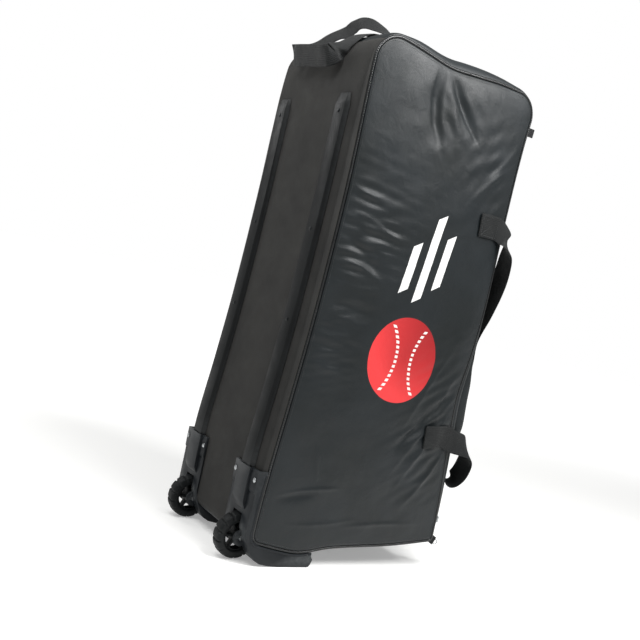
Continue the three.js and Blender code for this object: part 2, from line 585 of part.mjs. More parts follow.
// Bracket: a plate on the board that carries on the rail as a hump, bent round the corner into a
// skid, with a flange over the bag's edge, a round wheel well and two cheeks that hold the axle
const bracketY0 = -GAP - FLANGE;
const bracketY1 = bracketY0 + BRACKET_WIDTH;
function overBand(at, side, rise) {
  const { point, out } = SIDES[side].seamAt(at);
  return point.addScaledVector(out, rise);
}
const bulgeAt = (at, side) => SIDES[side].read(at).bulge * BAG_DEPTH;
function bracketGeometry() {
  const steps = 8;
  const top = boardShare(BRACKET_HEIGHT);
  const padFoot = boardShare(BRACKET_HEIGHT - HUMP_LENGTH);
  const toeShare = 1 - FOOT_LENGTH / SIDES[wheelPanel].length;
  const boardStops = Array.from({ length: steps + 1 }, (_, i) => top * (1 - i / steps));
  const footStops = Array.from({ length: steps }, (_, i) => 1 - ((i + 1) / steps) * (1 - toeShare));
  const boardCurve = (rise) => boardStops.map((at) => overBand(at, boardPanel, rise(at, boardPanel)));
  const footCurve = (rise) => footStops.map((at) => overBand(at, wheelPanel, rise(at, wheelPanel)));
  const onPanel = (at, side) => bulgeAt(at, side) + GAP;
  const onSeam = () => RIM_INSET + GAP;
  const inner = [...boardCurve(onPanel), ...footCurve(onPanel)];
  const toe = inner[inner.length - 1];
  const skid = SKID.map(({ x, z }) => new THREE.Vector2(x * FOOT_LENGTH, z * BODY_LEVEL));
  const outer = [
    toe.clone().add(new THREE.Vector2(0, -BRACKET_PLATE)),
    ...skid,
    ...boardCurve((at, side) => onPanel(at, side) + BRACKET_PLATE).reverse(),
  ];
  const elbow = plateY(new THREE.Shape([...inner, ...outer]), bracketY0, bracketY1);
  const flangeInner = [...boardCurve(onSeam), ...footCurve(onSeam)];
  const flange = plateY(new THREE.Shape([...flangeInner, ...outer]), bracketY0, bracketY0 + FLANGE);

  // Pads that stand on the plate: a low one as wide as the bracket and a hump as wide as the rail
  const padOf = (low, height, y0, y1) => {
    const stops = Array.from({ length: 5 }, (_, i) => THREE.MathUtils.lerp(low, top, i / 4));
    const seat = stops.map((at) => overBand(at, boardPanel, onPanel(at, boardPanel) + BRACKET_PLATE / 2));
    const face = stops.map((at, i) =>
      overBand(i ? at : at + boardShare(2 * height) - boardShare(0), boardPanel,
        onPanel(at, boardPanel) + BRACKET_PLATE + height));
    return plateY(new THREE.Shape([...seat, ...face.reverse()]), y0, y1);
  };
  const humpHalf = RAIL_WIDTH / 2 + GAP;
  const pad = padOf(padFoot, BRACKET_PAD, bracketY0, bracketY1);
  const humpFoot = boardShare(AXLE_DROP + wellRadius - BODY_LEVEL / 4);
  const hump = padOf(humpFoot, RAIL_HEIGHT - BRACKET_PLATE + BRACKET_PAD, TRACK_INSET - humpHalf, TRACK_INSET + humpHalf);
  const housing = toSolid(barY(housingRadius, TRACK_INSET - housingHalfWidth, TRACK_INSET + housingHalfWidth, 24));
  const corner = new THREE.Shape([...inner, new THREE.Vector2(toe.x, BAG_HEIGHT), new THREE.Vector2(inner[0].x, BAG_HEIGHT)]);
  const inside = housing.intersect(toSolid(plateY(corner, 0, BAG_WIDTH)));
  const cheekBar = barY(CHEEK_RADIUS, TRACK_INSET - housingHalfWidth, TRACK_INSET + housingHalfWidth, 16);
  const whole = joined(elbow, flange, pad, hump, cheekBar).add(inside);
  const well = barY(wellRadius, TRACK_INSET - wellHalfWidth, TRACK_INSET + wellHalfWidth, 24);
  const bore = barY(AXLE_RADIUS + GAP, TRACK_INSET - housingHalfWidth - 1, TRACK_INSET + housingHalfWidth + 1, 12);
  return toGeometry(without(whole, well, bore));
}
addPair("bracket", bracketGeometry(), MATERIALS.plastic);
const RIVET_PLACES = [{ name: "outer", y: RIVET_EDGE }, { name: "inner", y: bracketY1 - RIVET_EDGE }];
for (const { name, y } of RIVET_PLACES) {
  const seat = BRACKET_PLATE + BRACKET_PAD + 2 * GAP;
  addPair(`rivet_${name}`, headGeometry(RIVET_RADIUS, RIVET_HEIGHT, boardShare(BRACKET_HEIGHT - RIVET_DROP), y, seat), MATERIALS.steel);
}

// Axle pins and wheels
addPair("axle", barY(AXLE_RADIUS, TRACK_INSET - housingHalfWidth, TRACK_INSET + housingHalfWidth, 12), MATERIALS.steel);
function wheelShape() {
  const shape = new THREE.Shape();
  const pitch = (2 * Math.PI) / TREAD_BLOCKS;
  const groove = [{ share: 0, radius: WHEEL_RADIUS }, { share: 0.7, radius: WHEEL_RADIUS },
    { share: 0.76, radius: WHEEL_RADIUS - TREAD_DEPTH }, { share: 0.94, radius: WHEEL_RADIUS - TREAD_DEPTH }];
  const rim = Array.from({ length: TREAD_BLOCKS }, (_, k) => groove.map(({ share, radius }) =>
    new THREE.Vector2(radius, 0).rotateAround(new THREE.Vector2(), (k + share) * pitch))).flat();
  shape.setFromPoints(rim);
  const rimRadius = WHEEL_RADIUS - RIM_WALL;
  for (let k = 0; k < SPOKES; k++) {
    const middle = ((k + 0.5) * 2 * Math.PI) / SPOKES;
    const half = Math.PI / SPOKES;
    const outerHalf = half - SPOKE_WIDTH / 2 / rimRadius;
    const innerHalf = half - SPOKE_WIDTH / 2 / HUB_RADIUS;
    const window = new THREE.Path();
    window.absarc(0, 0, rimRadius, middle - outerHalf, middle + outerHalf, false);
    window.absarc(0, 0, HUB_RADIUS, middle + innerHalf, middle - innerHalf, true);
    window.closePath();
    shape.holes.push(window);
  }
  const bore = new THREE.Path();
  bore.absarc(0, 0, AXLE_RADIUS + GAP, 0, 2 * Math.PI, true);
  shape.holes.push(bore);
  return shape;
}
const wheelPlate = plateY(wheelShape(), TRACK_INSET - WHEEL_WIDTH / 2, TRACK_INSET + WHEEL_WIDTH / 2, 4);
addPair("wheel", wheelPlate.translate(-AXLE_SETBACK, 0, AXLE_HEIGHT), MATERIALS.wheel);

// Pocket on the lid
const readPocket = smoothTable(POCKET.map(({ at, rise }) => ({ at, rise })), ["rise"]);
function pocketRise(at, y) {
  const first = POCKET[0].at;
  const last = POCKET[POCKET.length - 1].at;
  if (at <= first || at >= last) return 0;
  const span = BAG_WIDTH - 2 * POCKET_EDGE;
  const offset = Math.min(Math.abs(1 - (2 * (y - POCKET_EDGE)) / span), 1);
  return Math.max(readPocket(at).rise, 0) * POCKET_RISE * (1 - offset ** 8) ** (1 / 8);
}
function pocketOuter(u, v) {
  const at = THREE.MathUtils.lerp(POCKET[0].at, POCKET[POCKET.length - 1].at, v);
  const angle = Math.PI * u;
  const reach = Math.sign(Math.cos(angle)) * Math.abs(Math.cos(angle)) ** (1 / 4);
  const y = BAG_WIDTH / 2 - (BAG_WIDTH / 2 - POCKET_EDGE) * reach;
  return bandPoint(lidPanel, at, y, GAP + CLOTH + pocketRise(at, y));
}
addPiece("lid_pocket", sheet(ACROSS_STEPS + 2, END_STEPS, pocketOuter, CLOTH), MATERIALS.endCloth);

// Zip along the front edge of the lid, with its slider and the webbing tabs at its ends
const zipStation = (at, lift) => {
  const point = bandPoint(lidPanel, at, ZIP_FROM_SEAM);
  const beside = bandPoint(lidPanel, at, ZIP_FROM_SEAM + 1).sub(bandPoint(lidPanel, at, ZIP_FROM_SEAM - 1)).normalize();
  const ahead = bandPoint(lidPanel, at + 1e-3, ZIP_FROM_SEAM).sub(bandPoint(lidPanel, at - 1e-3, ZIP_FROM_SEAM)).normalize();
  const face = new THREE.Vector3().crossVectors(beside, ahead);
  if (face.x < 0) face.negate();
  return { point: point.addScaledVector(face, lift), wide: beside, face, ahead };
};
const ZIP_ENDS = { upper: 0.07, lower: 0.985 };
const zipLift = GAP * 3 + ZIP_HEIGHT / 2;
const zipStations = Array.from({ length: ZIP_STEPS + 1 }, (_, i) =>
  zipStation(THREE.MathUtils.lerp(ZIP_ENDS.upper, ZIP_ENDS.lower, i / ZIP_STEPS), zipLift));
addPiece("zip_chain", webbing(zipStations, ZIP_WIDTH, ZIP_HEIGHT), MATERIALS.zip);

function onLid(at, lift, geometry) {
  const { point, wide, face, ahead } = zipStation(at, lift);
  const basis = new THREE.Matrix4().makeBasis(face, wide, new THREE.Vector3().crossVectors(face, wide));
  basis.setPosition(point);
  return geometry.applyMatrix4(basis);
}
const sliderLift = GAP * 4 + ZIP_HEIGHT + SLIDER_HEIGHT / 2;
const slider = new THREE.BoxGeometry(SLIDER_HEIGHT, SLIDER_WIDTH, SLIDER_LENGTH);
addPiece("zip_slider", onLid(0.955, sliderLift, slider), MATERIALS.steel);
const tabLift = GAP + TAB_LENGTH / 2;
for (const [name, at] of [["upper", ZIP_ENDS.upper - 0.012], ["lower", ZIP_ENDS.lower + 0.012]]) {
  const tab = new THREE.BoxGeometry(TAB_LENGTH, TAB_THICKNESS, TAB_WIDTH);
  addPiece(`zip_tab_${name}`, onLid(at, tabLift, tab), MATERIALS.webbing);
}

// Carry handles: one long webbing loop on each side, hanging slack over the lid
function carryHandle() {
  const lift = WEBBING / 2 + GAP;
  const upward = new THREE.Vector3(0, 0, 1);
  const patch = (height) => [CARRY_PATCH.x0, (CARRY_PATCH.x0 + CARRY_PATCH.x1) / 2, CARRY_PATCH.x1].map((x) => ({
    point: sidePoint(x, height, lift + 1.5),
    wide: upward,
  }));
  const free = CARRY_RUN.map(({ at, across, lift: share, turn }) => {
    const y = across * BAG_WIDTH;
    const half = CARRY_WIDTH / 2;
    const covered = Math.max(...[y - half, y, y + half].map((edge) => pocketRise(at, edge)));
    const inner = y + half * Math.sin(THREE.MathUtils.degToRad(turn));
    const rise = Math.max(panelRise(lidPanel, at, inner) - panelRise(lidPanel, at, y), 0);
    const point = bandPoint(lidPanel, at, y, lift + rise + covered + share * BAG_DEPTH);
    const angle = THREE.MathUtils.degToRad(turn);
    return { point, wide: new THREE.Vector3(0, Math.sin(angle), Math.cos(angle)) };
  });
  const run = [...patch(CARRY_PATCH.upper), ...free, ...patch(CARRY_PATCH.lower).reverse()];
  return webbing(smoothStations(run, 40), CARRY_WIDTH, WEBBING);
}
addPair("carry_handle", carryHandle(), MATERIALS.webbing);

// Tow handle
function towHandle() {
  const path = new THREE.CatmullRomCurve3(TOW_RUN.map(({ side, at, across, lift }) =>
    bandPoint(side, at, across * BAG_WIDTH, lift * BAG_DEPTH + WEBBING / 2 + GAP)), false, "centripetal");
  const turns = new THREE.CatmullRomCurve3(TOW_RUN.map(({ turn }) => new THREE.Vector3(turn, 0, 0)));
  const upward = new THREE.Vector3(0, 0, 1);
  const count = 44;
  const stations = Array.from({ length: count + 1 }, (_, i) => {
    const ahead = path.getTangent(i / count);
    const flat = new THREE.Vector3().crossVectors(upward, ahead).normalize();
    const edge = new THREE.Vector3().crossVectors(ahead, flat);
    const angle = THREE.MathUtils.degToRad(turns.getPoint(i / count).x);
    return { point: path.getPoint(i / count), wide: flat.multiplyScalar(Math.cos(angle)).addScaledVector(edge, -Math.sin(angle)) };
  });
  return webbing(stations, TOW_WIDTH, WEBBING);
}
addPiece("tow_handle", towHandle(), MATERIALS.webbing);

// The origin is on the floor under the middle of the whole bag
const box = new THREE.Box3().setFromObject(bag);
const middle = box.getCenter(new THREE.Vector3());
bag.position.set(-middle.x, -middle.y, -box.min.z);

export default bag;
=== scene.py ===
import bmesh
import bpy
import numpy as np
from mathutils import Matrix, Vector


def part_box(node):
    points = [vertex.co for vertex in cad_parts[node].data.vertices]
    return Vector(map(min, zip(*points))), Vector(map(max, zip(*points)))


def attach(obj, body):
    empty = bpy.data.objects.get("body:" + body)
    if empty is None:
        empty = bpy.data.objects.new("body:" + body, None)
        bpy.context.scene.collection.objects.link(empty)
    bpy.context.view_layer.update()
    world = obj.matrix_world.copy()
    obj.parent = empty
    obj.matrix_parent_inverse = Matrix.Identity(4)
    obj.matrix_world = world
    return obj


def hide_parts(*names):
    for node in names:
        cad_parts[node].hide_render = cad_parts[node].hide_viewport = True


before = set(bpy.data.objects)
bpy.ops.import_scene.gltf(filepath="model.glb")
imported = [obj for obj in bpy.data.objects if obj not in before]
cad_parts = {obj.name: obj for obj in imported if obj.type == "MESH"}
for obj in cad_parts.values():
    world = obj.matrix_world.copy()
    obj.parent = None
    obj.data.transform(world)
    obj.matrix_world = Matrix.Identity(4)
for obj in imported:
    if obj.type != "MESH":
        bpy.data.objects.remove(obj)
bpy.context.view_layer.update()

# Sizes in millimetres, the same as the part's
BAG_HEIGHT, BAG_DEPTH, BAG_WIDTH = 900, 400, 280
BODY_LEVEL = 50
PIPING_RADIUS = 2.5
GAP = 0.3
RIM_INSET = PIPING_RADIUS + GAP
SIDE_BULGE = 16
CLOTH, BOARD_THICKNESS, WEBBING = 2, 3.5, 2.5
AXLE_HEIGHT, AXLE_SETBACK, TRACK_INSET = 41, 18, 40
ENDS, TRACKS = ("front", "back"), (TRACK_INSET, BAG_WIDTH - TRACK_INSET)
WHEEL_RADIUS, WHEEL_WIDTH, HUB_RADIUS, RIM_RADIUS = 41, 24, 12, 27
TREAD_BLOCKS, TREAD_DEPTH, SPOKES = 14, 3, 6
WELL_RADIUS, WELL_HALF = 47, 20
RAIL_TOP, RAIL_HEIGHT = 778, 8
BRACKET_HEIGHT, BRACKET_PLATE, BRACKET_PAD, RIVET_DROP = 118, 3, 2, 17
CARRY_WIDTH, TOW_WIDTH = 45, 38
ZIP_FROM_SEAM, TAPE, TAB_WIDTH, TAB_TAPE = 11, 0.8, 17, 1.3
POCKET_EDGE, POCKET_RISE = 20, 40
BODY_CENTRE = np.array([BAG_DEPTH / 2, BAG_WIDTH / 2, BODY_LEVEL + BAG_HEIGHT / 2])

# The axle says where the part's origin lies in the frame
axle_low, axle_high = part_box("axle_front")
SHIFT = np.array([(axle_low.x + axle_high.x) * 500 + AXLE_SETBACK,
                  (axle_low.y + axle_high.y) * 500 - TRACK_INSET, 0])

BOARD, HANDLE, LID, WHEEL = range(4)

# Corners of the side panel: x, z, rounding, as shares of the depth and height
CORNERS = np.array([[-0.025, -0.008, 0.035], [0, 0.993, 0.125], [0.985, 1.005, 0.12], [1.025, 0.008, 0.02]])

# Panels of the band round the bag. Columns: share of length, bow of the seam, bulge, roundness
PANELS = [np.array(rows) for rows in (
    [[0, 0, 0.028, 8], [0.07, 0, 0.034, 9], [0.15, -0.004, 0.045, 10], [0.3, -0.018, 0.045, 10],
     [0.45, -0.028, 0.045, 10], [0.7, -0.026, 0.045, 10], [0.82, -0.015, 0.041, 10],
     [0.9, -0.005, 0.034, 9], [0.95, -0.001, 0.026, 8], [1, 0, 0.014, 6]],
    [[0, 0, 0.014, 6], [0.12, 0, 0.035, 4], [0.25, -0.012, 0.075, 2.6], [0.42, -0.03, 0.095, 2.2],
     [0.6, -0.017, 0.095, 2.2], [0.75, -0.004, 0.08, 2.3], [0.9, 0, 0.05, 2.5], [1, 0, 0.035, 2.5]],
    [[0, 0, 0.035, 2.5], [0.1, -0.017, 0.05, 2.2], [0.3, -0.02, 0.062, 2], [0.46, -0.014, 0.062, 2.1],
     [0.57, -0.03, 0.062, 3], [0.67, -0.057, 0.062, 4], [0.8, -0.033, 0.055, 4],
     [0.93, -0.006, 0.035, 4], [1, 0, 0.02, 4]],
    [[0, 0, 0.02, 4], [0.25, 0.02, 0.018, 4], [0.6, 0.031, 0.015, 5], [0.76, 0.05, 0.015, 7],
     [0.88, 0.03, 0.02, 8], [1, 0, 0.028, 8]])]

# Folds of a side panel, the broad ones first. Columns: start x, z, end x, z, sideways bend, width,
# height. z is a share of the bag's height, and all else of its depth
SIDE_FOLDS = [
    [0.385, 0.985, 0.45, 0.82, -0.045, 0.035, -0.015], [0.41, 0.98, 0.66, 0.86, 0, 0.03, -0.014],
    [0.03, 0.62, 0.3, 0.54, 0, 0.04, -0.01], [0.03, 0.48, 0.34, 0.46, 0, 0.045, -0.01],
    [0.6, 0.2, 0.93, 0.35, 0, 0.035, -0.014], [0.02, 0.08, 0.25, 0.1, 0, 0.03, -0.01],
    [0.36, 0.985, 0.4, 0.84, -0.035, 0.016, -0.005], [0.4, 0.97, 0.45, 0.85, -0.03, 0.018, 0.005],
    [0.43, 0.965, 0.68, 0.855, -0.02, 0.014, -0.006], [0.47, 0.95, 0.62, 0.87, 0.02, 0.02, 0.004],
    [0.02, 0.705, 0.3, 0.675, -0.012, 0.014, 0.004], [0.02, 0.655, 0.36, 0.615, 0.014, 0.014, 0.0055],
    [0.03, 0.612, 0.37, 0.585, -0.012, 0.014, 0.0055], [0.03, 0.565, 0.33, 0.525, 0.012, 0.014, 0.005],
    [0.02, 0.41, 0.24, 0.39, 0.01, 0.014, 0.004], [0.02, 0.365, 0.21, 0.345, -0.01, 0.014, 0.004],
    [0.02, 0.085, 0.36, 0.112, 0.012, 0.01, 0.007], [0.16, 0.2, 0.22, 0.115, 0.01, 0.014, 0.004],
    [0.66, 0.11, 0.97, 0.33, 0.015, 0.018, 0.006], [0.6, 0.14, 0.9, 0.39, -0.02, 0.02, 0.006],
    [0.74, 0.08, 0.99, 0.25, -0.015, 0.016, 0.005], [0.62, 0.24, 0.83, 0.43, 0.015, 0.018, 0.005],
    [0.66, 0.72, 0.92, 0.84, 0.02, 0.026, 0.005], [0.74, 0.79, 0.95, 0.9, -0.015, 0.022, 0.004],
    [0.4, 0.03, 0.9, 0.045, 0.01, 0.014, 0.005], [0.1, 0.03, 0.5, 0.05, -0.01, 0.012, 0.004]]
# Where a side panel is bunched: middle x and z, reach in x and z as shares, range of the waves'
# directions in degrees, shortest and longest wave and height in mm
BUNCHES = [[0.1, 0.62, 0.26, 0.1, 72, 112, 16, 40, 1.5], [0.06, 0.4, 0.2, 0.07, 72, 108, 14, 32, 0.9],
           [0.82, 0.26, 0.2, 0.13, 118, 142, 18, 46, 1.3], [0.8, 0.8, 0.2, 0.09, 110, 150, 24, 60, 0.8],
           [0.5, 0.9, 0.16, 0.08, 10, 60, 24, 60, 0.7]]
# Folds of the band panels: panel, start share and y, end share and y, bend, width, height in mm
BAND_FOLDS = {
    HANDLE: [
        [0.24, 26, 0.8, 22, 6, 6, -3.5], [0.3, 48, 0.72, 60, -8, 8, -3], [0.35, 96, 0.85, 82, 10, 11, 2.5],
        [0.3, 190, 0.8, 205, 12, 10, -3], [0.4, 236, 0.85, 250, 5, 7, -3], [0.5, 120, 0.9, 150, 12, 12, 2]],
    LID: [
        [0.02, 60, 0.2, 120, 14, 10, 2.5], [0.05, 200, 0.22, 160, -12, 10, 2.5],
        [0.3, 70, 0.44, 110, 10, 12, -3], [0.28, 190, 0.48, 230, 10, 11, 3], [0.44, 60, 0.55, 44, 5, 8, -2.5],
        [0.83, 60, 0.97, 110, 10, 11, 2.5], [0.82, 210, 0.95, 180, 8, 10, -2.5],
        [0.12, 130, 0.34, 146, 12, 13, -2]],
    WHEEL: [
        [0.05, 40, 0.5, 60, 8, 9, 1.5], [0.05, 220, 0.5, 200, 8, 9, 1.5], [0.3, 120, 0.7, 150, 8, 12, -1.5]],
    BOARD: []}

# Pocket on the lid: share of the lid's length, share of the pocket's rise
POCKET = np.array([[0.565, 0], [0.575, 0.25], [0.61, 0.62], [0.66, 0.93], [0.7, 1], [0.745, 0.95],
                   [0.77, 0.6], [0.785, 0]])

# Print on the front side panel, in mm: the ball's middle and radius, and each bar's middle x, low
# end and high end
BALL_MIDDLE, BALL_RADIUS = (209, 402), 80
BARS = ((176, 530, 612), (212, 520, 668), (248, 548, 640))

# Free run of a carry handle. Columns: share of the lid, share of the width, lift as a share of
# the depth, turn in degrees from edge-up to lying flat
CARRY_RUN = np.array([
    [0.3, -0.02, 0.006, 8], [0.31, -0.022, 0.016, 20], [0.33, -0.012, 0.027, 40], [0.36, 0.012, 0.036, 60],
    [0.395, 0.045, 0.043, 75], [0.435, 0.08, 0.041, 84], [0.48, 0.115, 0.03, 90], [0.54, 0.17, 0.02, 90],
    [0.59, 0.21, 0.015, 90], [0.65, 0.235, 0.012, 90], [0.71, 0.235, 0.012, 90], [0.76, 0.23, 0.018, 90],
    [0.808, 0.215, 0.016, 90], [0.842, 0.185, 0.024, 90], [0.865, 0.145, 0.048, 88], [0.868, 0.1, 0.072, 84],
    [0.849, 0.06, 0.096, 76], [0.812, 0.025, 0.105, 62], [0.79, -0.002, 0.089, 42], [0.777, -0.018, 0.06, 22],
    [0.772, -0.022, 0.034, 10], [0.77, -0.02, 0.01, 5]])
# Heights of its two patches on a side panel, and where the strap crosses them
PATCH_HEIGHTS = (0.703, 0.24)
PATCH_ACROSS = (0.8, 0.87, 0.94)

# Tow handle. Columns: panel, share of it, share of the width, lift as a share of the depth, turn
# in degrees
TOW_RUN = np.array([
    [1, 0.254, 0.343, 0.002, 0], [1, 0.19, 0.339, 0.002, 0], [1, 0.12, 0.332, 0.004, 1],
    [1, 0.071, 0.325, 0.007, 3], [1, 0.027, 0.321, 0.01, 6], [0, 0.985, 0.318, 0.016, 12],
    [0, 0.97, 0.314, 0.033, 34], [0, 0.961, 0.307, 0.043, 70], [0, 0.955, 0.325, 0.063, 106],
    [0, 0.954, 0.368, 0.068, 113], [0, 0.957, 0.464, 0.067, 113], [0, 0.96, 0.6, 0.068, 113],
    [0, 0.962, 0.714, 0.068, 112], [0, 0.965, 0.764, 0.063, 105], [0, 0.971, 0.768, 0.043, 104],
    [0, 0.984, 0.718, 0.02, 124], [1, 0.011, 0.65, 0.024, 132], [1, 0.052, 0.596, 0.03, 134],
    [1, 0.075, 0.561, 0.037, 126], [1, 0.089, 0.532, 0.059, 118], [1, 0.099, 0.5, 0.075, 125],
    [1, 0.119, 0.464, 0.076, 131], [1, 0.151, 0.425, 0.061, 137], [1, 0.188, 0.393, 0.041, 145],
    [1, 0.223, 0.368, 0.022, 158], [1, 0.255, 0.35, 0.014, 172]])


def cubic(w, start, end, start_slope, end_slope):
    """Hermite cubic at a share w of its span, from the values and the slopes at both ends."""
    return ((2 * w**3 - 3 * w**2 + 1) * start + (w**3 - 2 * w**2 + w) * start_slope
            + (3 * w**2 - 2 * w**3) * end + (w**3 - w**2) * end_slope)


def smooth_table(rows, at):
    """Reads a table at any share: a cubic between rows whose slope at a row is the mean of the
    two straight slopes beside it."""
    t, y = rows[:, 0], rows[:, 1:]
    at = np.clip(np.asarray(at, float), t[0], t[-1])
    straight = np.diff(y, axis=0) / np.diff(t)[:, None]
    slope = np.vstack([straight[:1], (straight[1:] + straight[:-1]) / 2, straight[-1:]])
    i = np.clip(np.searchsorted(t, at, side="right") - 1, 0, len(t) - 2)
    h = (t[i + 1] - t[i])[..., None]
    return cubic((at - t[i])[..., None] / h, y[i], y[i + 1], h * slope[i], h * slope[i + 1])


def smooth_path(points, share):
    """Point on a centripetal curve through given points, at a share of the curve: each span is
    a cubic whose end slopes weigh the neighbouring spans by the square root of their length."""
    p = np.asarray(points, float)
    ends = np.vstack([2 * p[0] - p[1], p, 2 * p[-1] - p[-2]])
    place = share * (len(p) - 1)
    i = np.minimum(place.astype(int), len(p) - 2)
    w = (place - i)[:, None]
    a, b, c, d = (ends[i + k] for k in range(4))
    dt = [np.linalg.norm(q - r, axis=1)[:, None] ** 0.5 for q, r in ((b, a), (c, b), (d, c))]
    dt[1] = np.where(dt[1] < 1e-4, 1, dt[1])
    dt[0] = np.where(dt[0] < 1e-4, dt[1], dt[0])
    dt[2] = np.where(dt[2] < 1e-4, dt[1], dt[2])
    m1 = ((b - a) / dt[0] - (c - a) / (dt[0] + dt[1]) + (c - b) / dt[1]) * dt[1]
    m2 = ((c - b) / dt[1] - (d - b) / (dt[1] + dt[2]) + (d - c) / dt[2]) * dt[1]
    return cubic(w, b, c, m1, m2)


def unit(v):
    """Vectors divided by their own lengths."""
    return v / np.maximum(np.linalg.norm(v, axis=-1, keepdims=True), 1e-9)


def circle(steps):
    """Angles of one full turn in equal steps, the last one short of the first."""
    return np.linspace(0, 2 * np.pi, steps, endpoint=False)


def squarish(wave, power):
    """A sine or cosine raised to a power with its sign kept: under 1 it squares a circle off."""
    return np.sign(wave) * np.abs(wave) ** power


def run_along(path):
    """Distance run along a path to each of its points, as the sum of the steps before it."""
    return np.concatenate([[0], np.cumsum(np.linalg.norm(np.diff(path, axis=0), axis=1))])


def read_at(spots, run, rows):
    """Vectors read at distances along a run, straight between its points."""
    return np.stack([np.interp(spots, run, rows[:, k]) for k in range(3)], -1)


def make_panel(index):
    """A side of the outline: half a corner arc, a straight run and half a corner arc."""
    place = CORNERS[:, :2] * [BAG_DEPTH, BAG_HEIGHT] + [0, BODY_LEVEL]
    at = [place[(index + k) % 4] for k in (-1, 0, 1, 2)]
    before, along, after = (unit(at[k + 1] - at[k]) for k in range(3))
    turns = [np.arccos(before @ along), np.arccos(along @ after)]
    radii = [CORNERS[index % 4, 2] * BAG_DEPTH, CORNERS[(index + 1) % 4, 2] * BAG_DEPTH]
    start = at[1] + along * radii[0] * np.tan(turns[0] / 2)
    straight = np.linalg.norm(at[2] - along * radii[1] * np.tan(turns[1] / 2) - start)
    arcs = [radii[k] * turns[k] / 2 for k in (0, 1)]
    return {"along": along, "start": start, "straight": straight, "arcs": arcs, "radii": radii,
            "length": arcs[0] + straight + arcs[1], "rows": PANELS[index]}


SIDES = [make_panel(i) for i in range(4)]


def seam(panel, at):
    """Point and outward direction on a panel's seam, in x and z: along the arcs the direction
    turns with the run, and the bow pushes the point outwards."""
    s = SIDES[panel]
    run = np.asarray(at, float) * s["length"]
    first, last = s["arcs"]
    turn = (np.maximum(first - run, 0) / s["radii"][0]
            - np.maximum(run - first - s["straight"], 0) / s["radii"][1])
    nx, nz = -s["along"][1], s["along"][0]
    out = np.stack([nx * np.cos(turn) - nz * np.sin(turn), nx * np.sin(turn) + nz * np.cos(turn)], -1)
    radius = np.where(turn > 0, s["radii"][0], s["radii"][1])[..., None]
    point = s["start"] + s["along"] * np.clip(run - first, 0, s["straight"])[..., None]
    bow = smooth_table(s["rows"], at)[..., :1] * BAG_DEPTH
    return point - np.array([nx, nz]) * radius + out * (radius + bow), out


def panel_rise(panel, at, y):
    """Height of a band panel over its seam line: a super-ellipse across the width."""
    row = smooth_table(SIDES[panel]["rows"], at)
    offset = np.minimum(np.abs(1 - 2 * y / BAG_WIDTH), 1)
    return row[..., 1] * BAG_DEPTH * (1 - offset ** row[..., 2]) ** (1 / row[..., 2])


def band(panel, at, y, lift=0.0):
    """Point over a band panel: the seam's point moved out by the panel's rise and a lift in mm."""
    at, y = np.broadcast_arrays(np.asarray(at, float), np.asarray(y, float))
    point, out = seam(panel, at)
    high = panel_rise(panel, at, y) + lift
    return np.stack([point[..., 0] + out[..., 0] * high, y, point[..., 1] + out[..., 1] * high], -1)


def folds(x, z, rows):
    """Relief of curved folds: a rounded ridge whose height falls with the distance to a bent line
    and fades towards the line's two ends."""
    total = np.zeros_like(x)
    for x0, z0, x1, z1, bend, width, height in rows:
        t = np.linspace(0, 1, 11)
        middle = np.array([(x0 + x1) / 2, (z0 + z1) / 2]) + 2 * bend * unit(np.array([z0 - z1, x1 - x0]))
        line = (np.outer((1 - t) ** 2, [x0, z0]) + np.outer(2 * t * (1 - t), middle)
                + np.outer(t**2, [x1, z1]))
        nearest, place = np.full(x.shape, 1e9), np.zeros_like(x)
        for k in range(10):
            (ax, az), (bx, bz) = line[k], line[k + 1]
            span = (bx - ax) ** 2 + (bz - az) ** 2
            w = np.clip(((x - ax) * (bx - ax) + (z - az) * (bz - az)) / span, 0, 1)
            away = np.hypot(x - ax - w * (bx - ax), z - az - w * (bz - az))
            place = np.where(away < nearest, (k + w) / 10, place)
            nearest = np.minimum(away, nearest)
        fade = np.clip(np.sin(np.pi * np.clip(place, 0.02, 0.98)), 0, 1) ** 0.85
        total += height * fade / (1 + (nearest / width) ** 2) ** 2
    return total


def ripple(x, z, seed, count, shortest, longest, height, low=0.0, high=180.0):
    """Slack in cloth: a sum of seeded sine waves whose directions lie between two angles."""
    draw = np.random.default_rng(seed)
    total = np.zeros_like(x)
    for _ in range(count):
        angle, phase = np.radians(draw.uniform(low, high)), draw.uniform(0, 2 * np.pi)
        wave = draw.uniform(shortest, longest)
        total += np.sin(2 * np.pi * (x * np.cos(angle) + z * np.sin(angle)) / wave + phase)
    return height * total / np.sqrt(count)


def outline(u, v):
    """Patch between the four seams, each drawn in by the piping: both pairs of facing seams are
    mixed and the four corners taken off once."""
    def drawn_in(panel, at):
        """The seam moved in by the piping and a gap."""
        point, out = seam(panel, at)
        return point - out * RIM_INSET
    a, b = u[..., None], v[..., None]
    mixed = drawn_in(BOARD, v) * (1 - a) + drawn_in(LID, 1 - v) * a
    mixed = mixed + drawn_in(WHEEL, 1 - u) * (1 - b) + drawn_in(HANDLE, u) * b
    for i, j in ((0, 0), (1, 0), (0, 1), (1, 1)):
        corner = drawn_in(HANDLE if j else WHEEL, np.array(float(i if j else 1 - i)))
        mixed = mixed - corner * (a if i else 1 - a) * (b if j else 1 - b)
    return mixed


